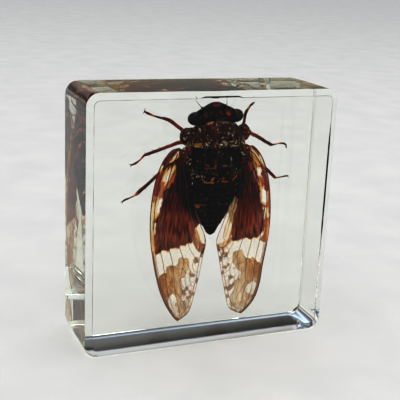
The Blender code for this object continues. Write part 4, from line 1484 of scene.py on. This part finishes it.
def leg(name):
    """A jointed leg with its claws, and spines on all but the forelegs."""
    knots, widths, claws = LEGS[name]
    path = even_path(knots, LEG_STEPS)
    joints = np.array(knots)
    place = [np.argmin(np.linalg.norm(path - joint, axis=1)) for joint in joints]
    radii = np.interp(np.arange(LEG_STEPS), place, np.array(widths) / 2)
    radii *= 1.2 + 0.08 * noise_at(path, 1.5, 6.0)
    points, faces = tube(path, radii, LEG_SIDES, 0.9)
    colours = plain(points, LEG_TONE)
    part = np.append(np.repeat(np.linspace(0, 1, LEG_STEPS), LEG_SIDES), [0, 1])
    lay(colours, slope(part, LEG_DARK_FROM, LEG_DARK_OVER), LEG_DARK)
    for middle, width, strength in LEG_BANDS:
        lay(colours, groove(part - middle, width) * strength, LEG_BAND)
    shapes = [(points, faces, colours)]
    for tip, width in claws:
        bend = (joints[-1] + np.array(tip)) / 2 + CLAW_BEND
        claw = tube(even_path((joints[-1], bend, tip), 10),
                    np.linspace(width, CLAW_TIP, 10), 8)
        shapes.append(tinted(claw, LEG_DARK))
    if not name.startswith("foreleg"):
        for number, where in enumerate(SPINES):
            row = int(where * (LEG_STEPS - 1))
            along = path[row + 1] - path[row - 1]
            along /= np.linalg.norm(along)
            across = np.cross(along, [0, 1, 0]) * (1 if number % 2 else -1)
            tip = path[row] + across * (radii[row] + SPINE_REACH) + along * SPINE_LEAN
            spine = tube(np.linspace(path[row], tip, 5), SPINE_RADII, 6)
            shapes.append(tinted(spine, LEG_DARK))
    return join(shapes)


def feeler(name):
    """Two short thick joints and a bristle."""
    path = even_path(FEELERS[name], FEELER_STEPS)
    widths = np.interp(np.linspace(0, 1, FEELER_STEPS), *zip(*FEELER_TAPER))
    return tinted(tube(path, widths / 2, 10), FEELER_BROWN)


# The face: middle, radii, depth of its ridges and how close they are
FACE_MIDDLE, FACE_RADII = (1.35, 0.75, 45.1), (1.75, 1.75, 1.7)
FACE_RIDGE, FACE_RIDGES = 0.05, 22
FACE_BROWN = srgb(58, 30, 30)

# The beak's path, its thickness as (part of its length, radius), and its colour
BEAK = ((1.4, 2.2, 44.0), (1.45, 3.3, 43.0), (1.5, 4.0, 41.0), (1.5, 4.35, 38.6),
        (1.5, 4.5, 36.2))
BEAK_TAPER = ((0, 0.55), (0.2, 0.42), (0.6, 0.28), (1, 0.08))
BEAK_BROWN = srgb(64, 32, 26)

# The hips of each pair of legs, as (height, reach from the middle line)
HIPS = ((41.0, 2.0), (38.7, 2.3), (36.6, 2.3))
HIP_RADII = (1.35, 1.1, 1.0)
HIP_BROWN = srgb(66, 32, 28)
THIGH_BROWN = srgb(88, 38, 28)

# On each side the sound cover, the swelling beside it and the two wing roots:
# place from the middle line, radii, points along and around, unevenness, its seed,
# colour, flecks
SIDE_PARTS = (
    ((2.3, 4.15, 32.9), (2.15, 0.42, 1.85), 30, 40, 0.04, 1, srgb(74, 40, 30), 0.1),
    ((4.75, -0.9, 31.3), (1.15, 1.6, 1.2), 26, 32, 0.05, 2, BLACK, 0.15),
    ((6.0, -1.3, 37.9), (1.0, 0.9, 1.1), 26, 32, 0.08, 3, srgb(84, 40, 26), 0.5),
    ((5.6, -1.9, 36.4), (0.6, 0.5, 1.3), 24, 26, 0.08, 5, srgb(48, 22, 28), 0.6),
)


def underside(chitin):
    """Face, beak, hips, sound covers and wing roots."""
    points, faces = ball(FACE_MIDDLE, FACE_RADII, 60, 60)
    way = points - FACE_MIDDLE
    ridges = (FACE_RIDGE * np.cos(points[:, 2] * FACE_RIDGES)
              * np.clip(np.abs(way[:, 0]) * 3, 0, 1))
    way /= np.linalg.norm(way, axis=1)[:, None]
    radii = np.interp(np.linspace(0, 1, 40), *zip(*BEAK_TAPER))
    shapes = [tinted((points + way * ridges[:, None], faces), FACE_BROWN),
              tinted(tube(even_path(BEAK, 40), radii, 14), BEAK_BROWN)]
    for side in (-1, 1):
        for height, reach in HIPS:
            hip = ball((BODY_X + side * reach, 3.5, height), HIP_RADII, 24, 30, 0.05,
                       height)
            thigh = ((BODY_X + side * reach, 4.1, height),
                     (BODY_X + side * (reach + 1.6), 3.9, height + 0.3),
                     (BODY_X + side * (reach + 3.2), 2.9, height + 0.4))
            thigh = tube(even_path(thigh, 24), np.linspace(0.62, 0.42, 24), 14)
            shapes += [tinted(hip, HIP_BROWN, 0.1), tinted(thigh, THIGH_BROWN, 0.1)]
        for (out, y, z), radii, along, around, uneven, seed, tone, flecks in SIDE_PARTS:
            lump = ball((BODY_X + side * out, y, z), radii, along, around, uneven,
                        side * seed)
            shapes.append(tinted(lump, tone, flecks))
    insect_piece("underside_and_hips", join(shapes), chitin)


# Hairs: their colours, thickness, and zones, as (sections, middle, lowest and
# highest root, number, length)
HAIR_SEED = 17
HAIR_COLOURS = (srgb(150, 104, 50), srgb(112, 74, 42), srgb(176, 150, 104))
HAIR_WIDTH = 0.05
HAIR_ZONES = (
    (PRONOTUM_SECTIONS, COLLAR_MIDDLE, 38.8, 40.0, 700, 0.4),
    (PRONOTUM_SECTIONS, COLLAR_MIDDLE, 40.0, 43.4, 600, 0.3),
    (MESONOTUM_SECTIONS, BODY_MIDDLE, 31.6, 34.4, 420, 0.45),
    (MESONOTUM_SECTIONS, BODY_MIDDLE, 34.4, 38.6, 260, 0.3),
    *((ABDOMEN_SECTIONS, BODY_MIDDLE, edge - 0.05, edge + 0.1, 60, 0.35)
      for edge in TERGITE_EDGES),
)


def hair(root, way, length):
    """Points and faces of one hair, a thin three-sided cone."""
    way = np.array(way) / np.linalg.norm(way)
    side = np.cross(way, [0.3, 1.0, 0.2])
    side /= np.linalg.norm(side)
    other = np.cross(way, side)
    root = np.array(root)
    ring = [root + HAIR_WIDTH / 2 * (math.cos(angle) * side + math.sin(angle) * other)
            for angle in (0, 2.09, 4.19)]
    return (np.array(ring + [root + way * length]),
            [(0, 1, 3), (1, 2, 3), (2, 0, 3), (0, 2, 1)])


def hairs(chitin_hair):
    """Short golden hairs on the pronotum's rim, the mesonotum and the ring edges."""
    rng = random.Random(HAIR_SEED)
    shapes = []
    for sections, centre, low, high, count, length in HAIR_ZONES:
        table = smooth_path(sections, 10)[::-1]
        for _ in range(count):
            z = rng.uniform(low, high)
            wide, back, belly = (np.interp(z, table[:, 0], table[:, i])
                                 for i in (1, 2, 3))
            angle = rng.uniform(0, 2 * math.pi)
            deep = back if math.sin(angle) > 0 else belly
            x, y = wide * math.cos(angle), -deep * math.sin(angle)
            way = (x / wide * 0.8 + rng.uniform(-0.3, 0.3),
                   y / deep * 0.8 + rng.uniform(-0.3, 0.3), -0.9)
            shape = hair((centre[0] + x * 0.99, centre[1] + y * 0.99, z), way,
                         length * rng.uniform(0.6, 1.3))
            shapes.append(tinted(shape, rng.choice(HAIR_COLOURS)))
    insect_piece("hairs", join(shapes), chitin_hair)


# ---------------------------------------------------------------- studio

# Light from each height of the sky, as (sine of elevation, colour). Behind the block
# its steps give the faces and edges their greys. In front is an open pale room.
BACK_SKY = (
    (0.00, (0.68, 0.68, 0.67)),
    (0.05, (0.52, 0.51, 0.49)),
    (0.10, (0.23, 0.23, 0.20)),
    (0.20, (0.215, 0.215, 0.20)),
    (0.25, (0.38, 0.38, 0.40)),
    (0.33, (0.38, 0.38, 0.41)),
    (0.37, (0.012, 0.012, 0.011)),
    (0.395, (0.018, 0.018, 0.017)),
    (0.41, (0.034, 0.034, 0.032)),
    (0.425, (0.066, 0.064, 0.062)),
    (0.44, (0.105, 0.104, 0.106)),
    (0.465, (0.125, 0.13, 0.145)),
    (0.485, (0.20, 0.235, 0.31)),
    (0.52, (0.10, 0.11, 0.13)),
    (0.56, (0.50, 0.59, 0.73)),
    (0.60, (0.50, 0.59, 0.73)),
    (0.66, (0.06, 0.06, 0.062)),
    (0.78, (0.70, 0.72, 0.75)),
    (1.00, (1.00, 1.02, 1.05)),
)
FRONT_SKY = (
    (0.00, (0.56, 0.56, 0.55)),
    (0.30, (0.56, 0.57, 0.58)),
    (1.00, (0.68, 0.69, 0.71)),
)
# Where the front sky starts to turn into the back sky, and where it has, along +Y
SIDE_BLEND = (-0.1, 0.4)


def studio_world():
    world = bpy.data.worlds.new("studio")
    bpy.context.scene.world = world
    world.use_nodes = True
    sky = Nodes(world.node_tree)
    way = sky.add("SeparateXYZ", {0: sky.add("TexCoord").outputs["Generated"]})
    side = sky.add("MapRange")
    side.interpolation_type = "SMOOTHSTEP"
    sky.feed(side.inputs, {"Value": way.outputs["Y"], "From Min": SIDE_BLEND[0],
                           "From Max": SIDE_BLEND[1]})
    front = sky.ramp(way.outputs["Z"], *FRONT_SKY)
    back = sky.ramp(way.outputs["Z"], *BACK_SKY)
    light = sky.mix("MIX", side.outputs["Result"], front, back)
    sky.feed(world.node_tree.nodes["Background"].inputs, {0: light})


def key_light():
    lamp = bpy.data.lights.new("key", "AREA")
    lamp.spread = KEY_SPREAD
    lamp.shape = "RECTANGLE"
    lamp.size, lamp.size_y = KEY_SIZE
    lamp.energy = KEY_POWER
    obj = add_object("key", lamp)
    obj.location = KEY_PLACE
    aim = Vector(KEY_TARGET) - Vector(KEY_PLACE)
    obj.rotation_euler = aim.to_track_quat("-Z", "Y").to_euler()


def camera():
    data = bpy.data.cameras.new("camera")
    data.lens = CAMERA_LENS
    data.sensor_width = CAMERA_SENSOR
    data.clip_start, data.clip_end = CAMERA_CLIPS
    obj = add_object("camera", data)
    obj.location = [v * MM for v in CAMERA_PLACE_MM]
    obj.rotation_euler = CAMERA_TURN
    bpy.context.scene.camera = obj


def floor():
    bpy.ops.mesh.primitive_plane_add(size=FLOOR_SIZE, location=(0, 0, -FLOOR_DROP))
    obj = bpy.context.object
    obj.name = "floor"
    obj.data.materials.append(floor_material())


resin_block()
edge_shade_and_glint()
chitin = chitin_material("chitin")
membrane, veins = wing_material(), vein_material()
for wing_side in ("left", "right"):
    hindwing(wing_side, membrane, veins)
    forewing(wing_side, membrane, veins)
body(chitin)
eyes(chitin, eye_material())
underside(chitin)
leg_chitin = chitin_material("leg_chitin", 4000, 0.02)
for leg_name in LEGS:
    insect_piece(leg_name, leg(leg_name), leg_chitin)
for feeler_name in FEELERS:
    insect_piece(feeler_name, feeler(feeler_name), leg_chitin)
hairs(chitin_material("hair", 5000, 0.005))

floor()
studio_world()
key_light()
camera()

scene = bpy.context.scene
scene.view_settings.view_transform = "Standard"
scene.view_settings.look = "Very High Contrast"
scene.cycles.max_bounces = 32
scene.cycles.transmission_bounces = 32
scene.cycles.transparent_max_bounces = 32
scene.cycles.glossy_bounces = 16
scene.cycles.diffuse_bounces = 6
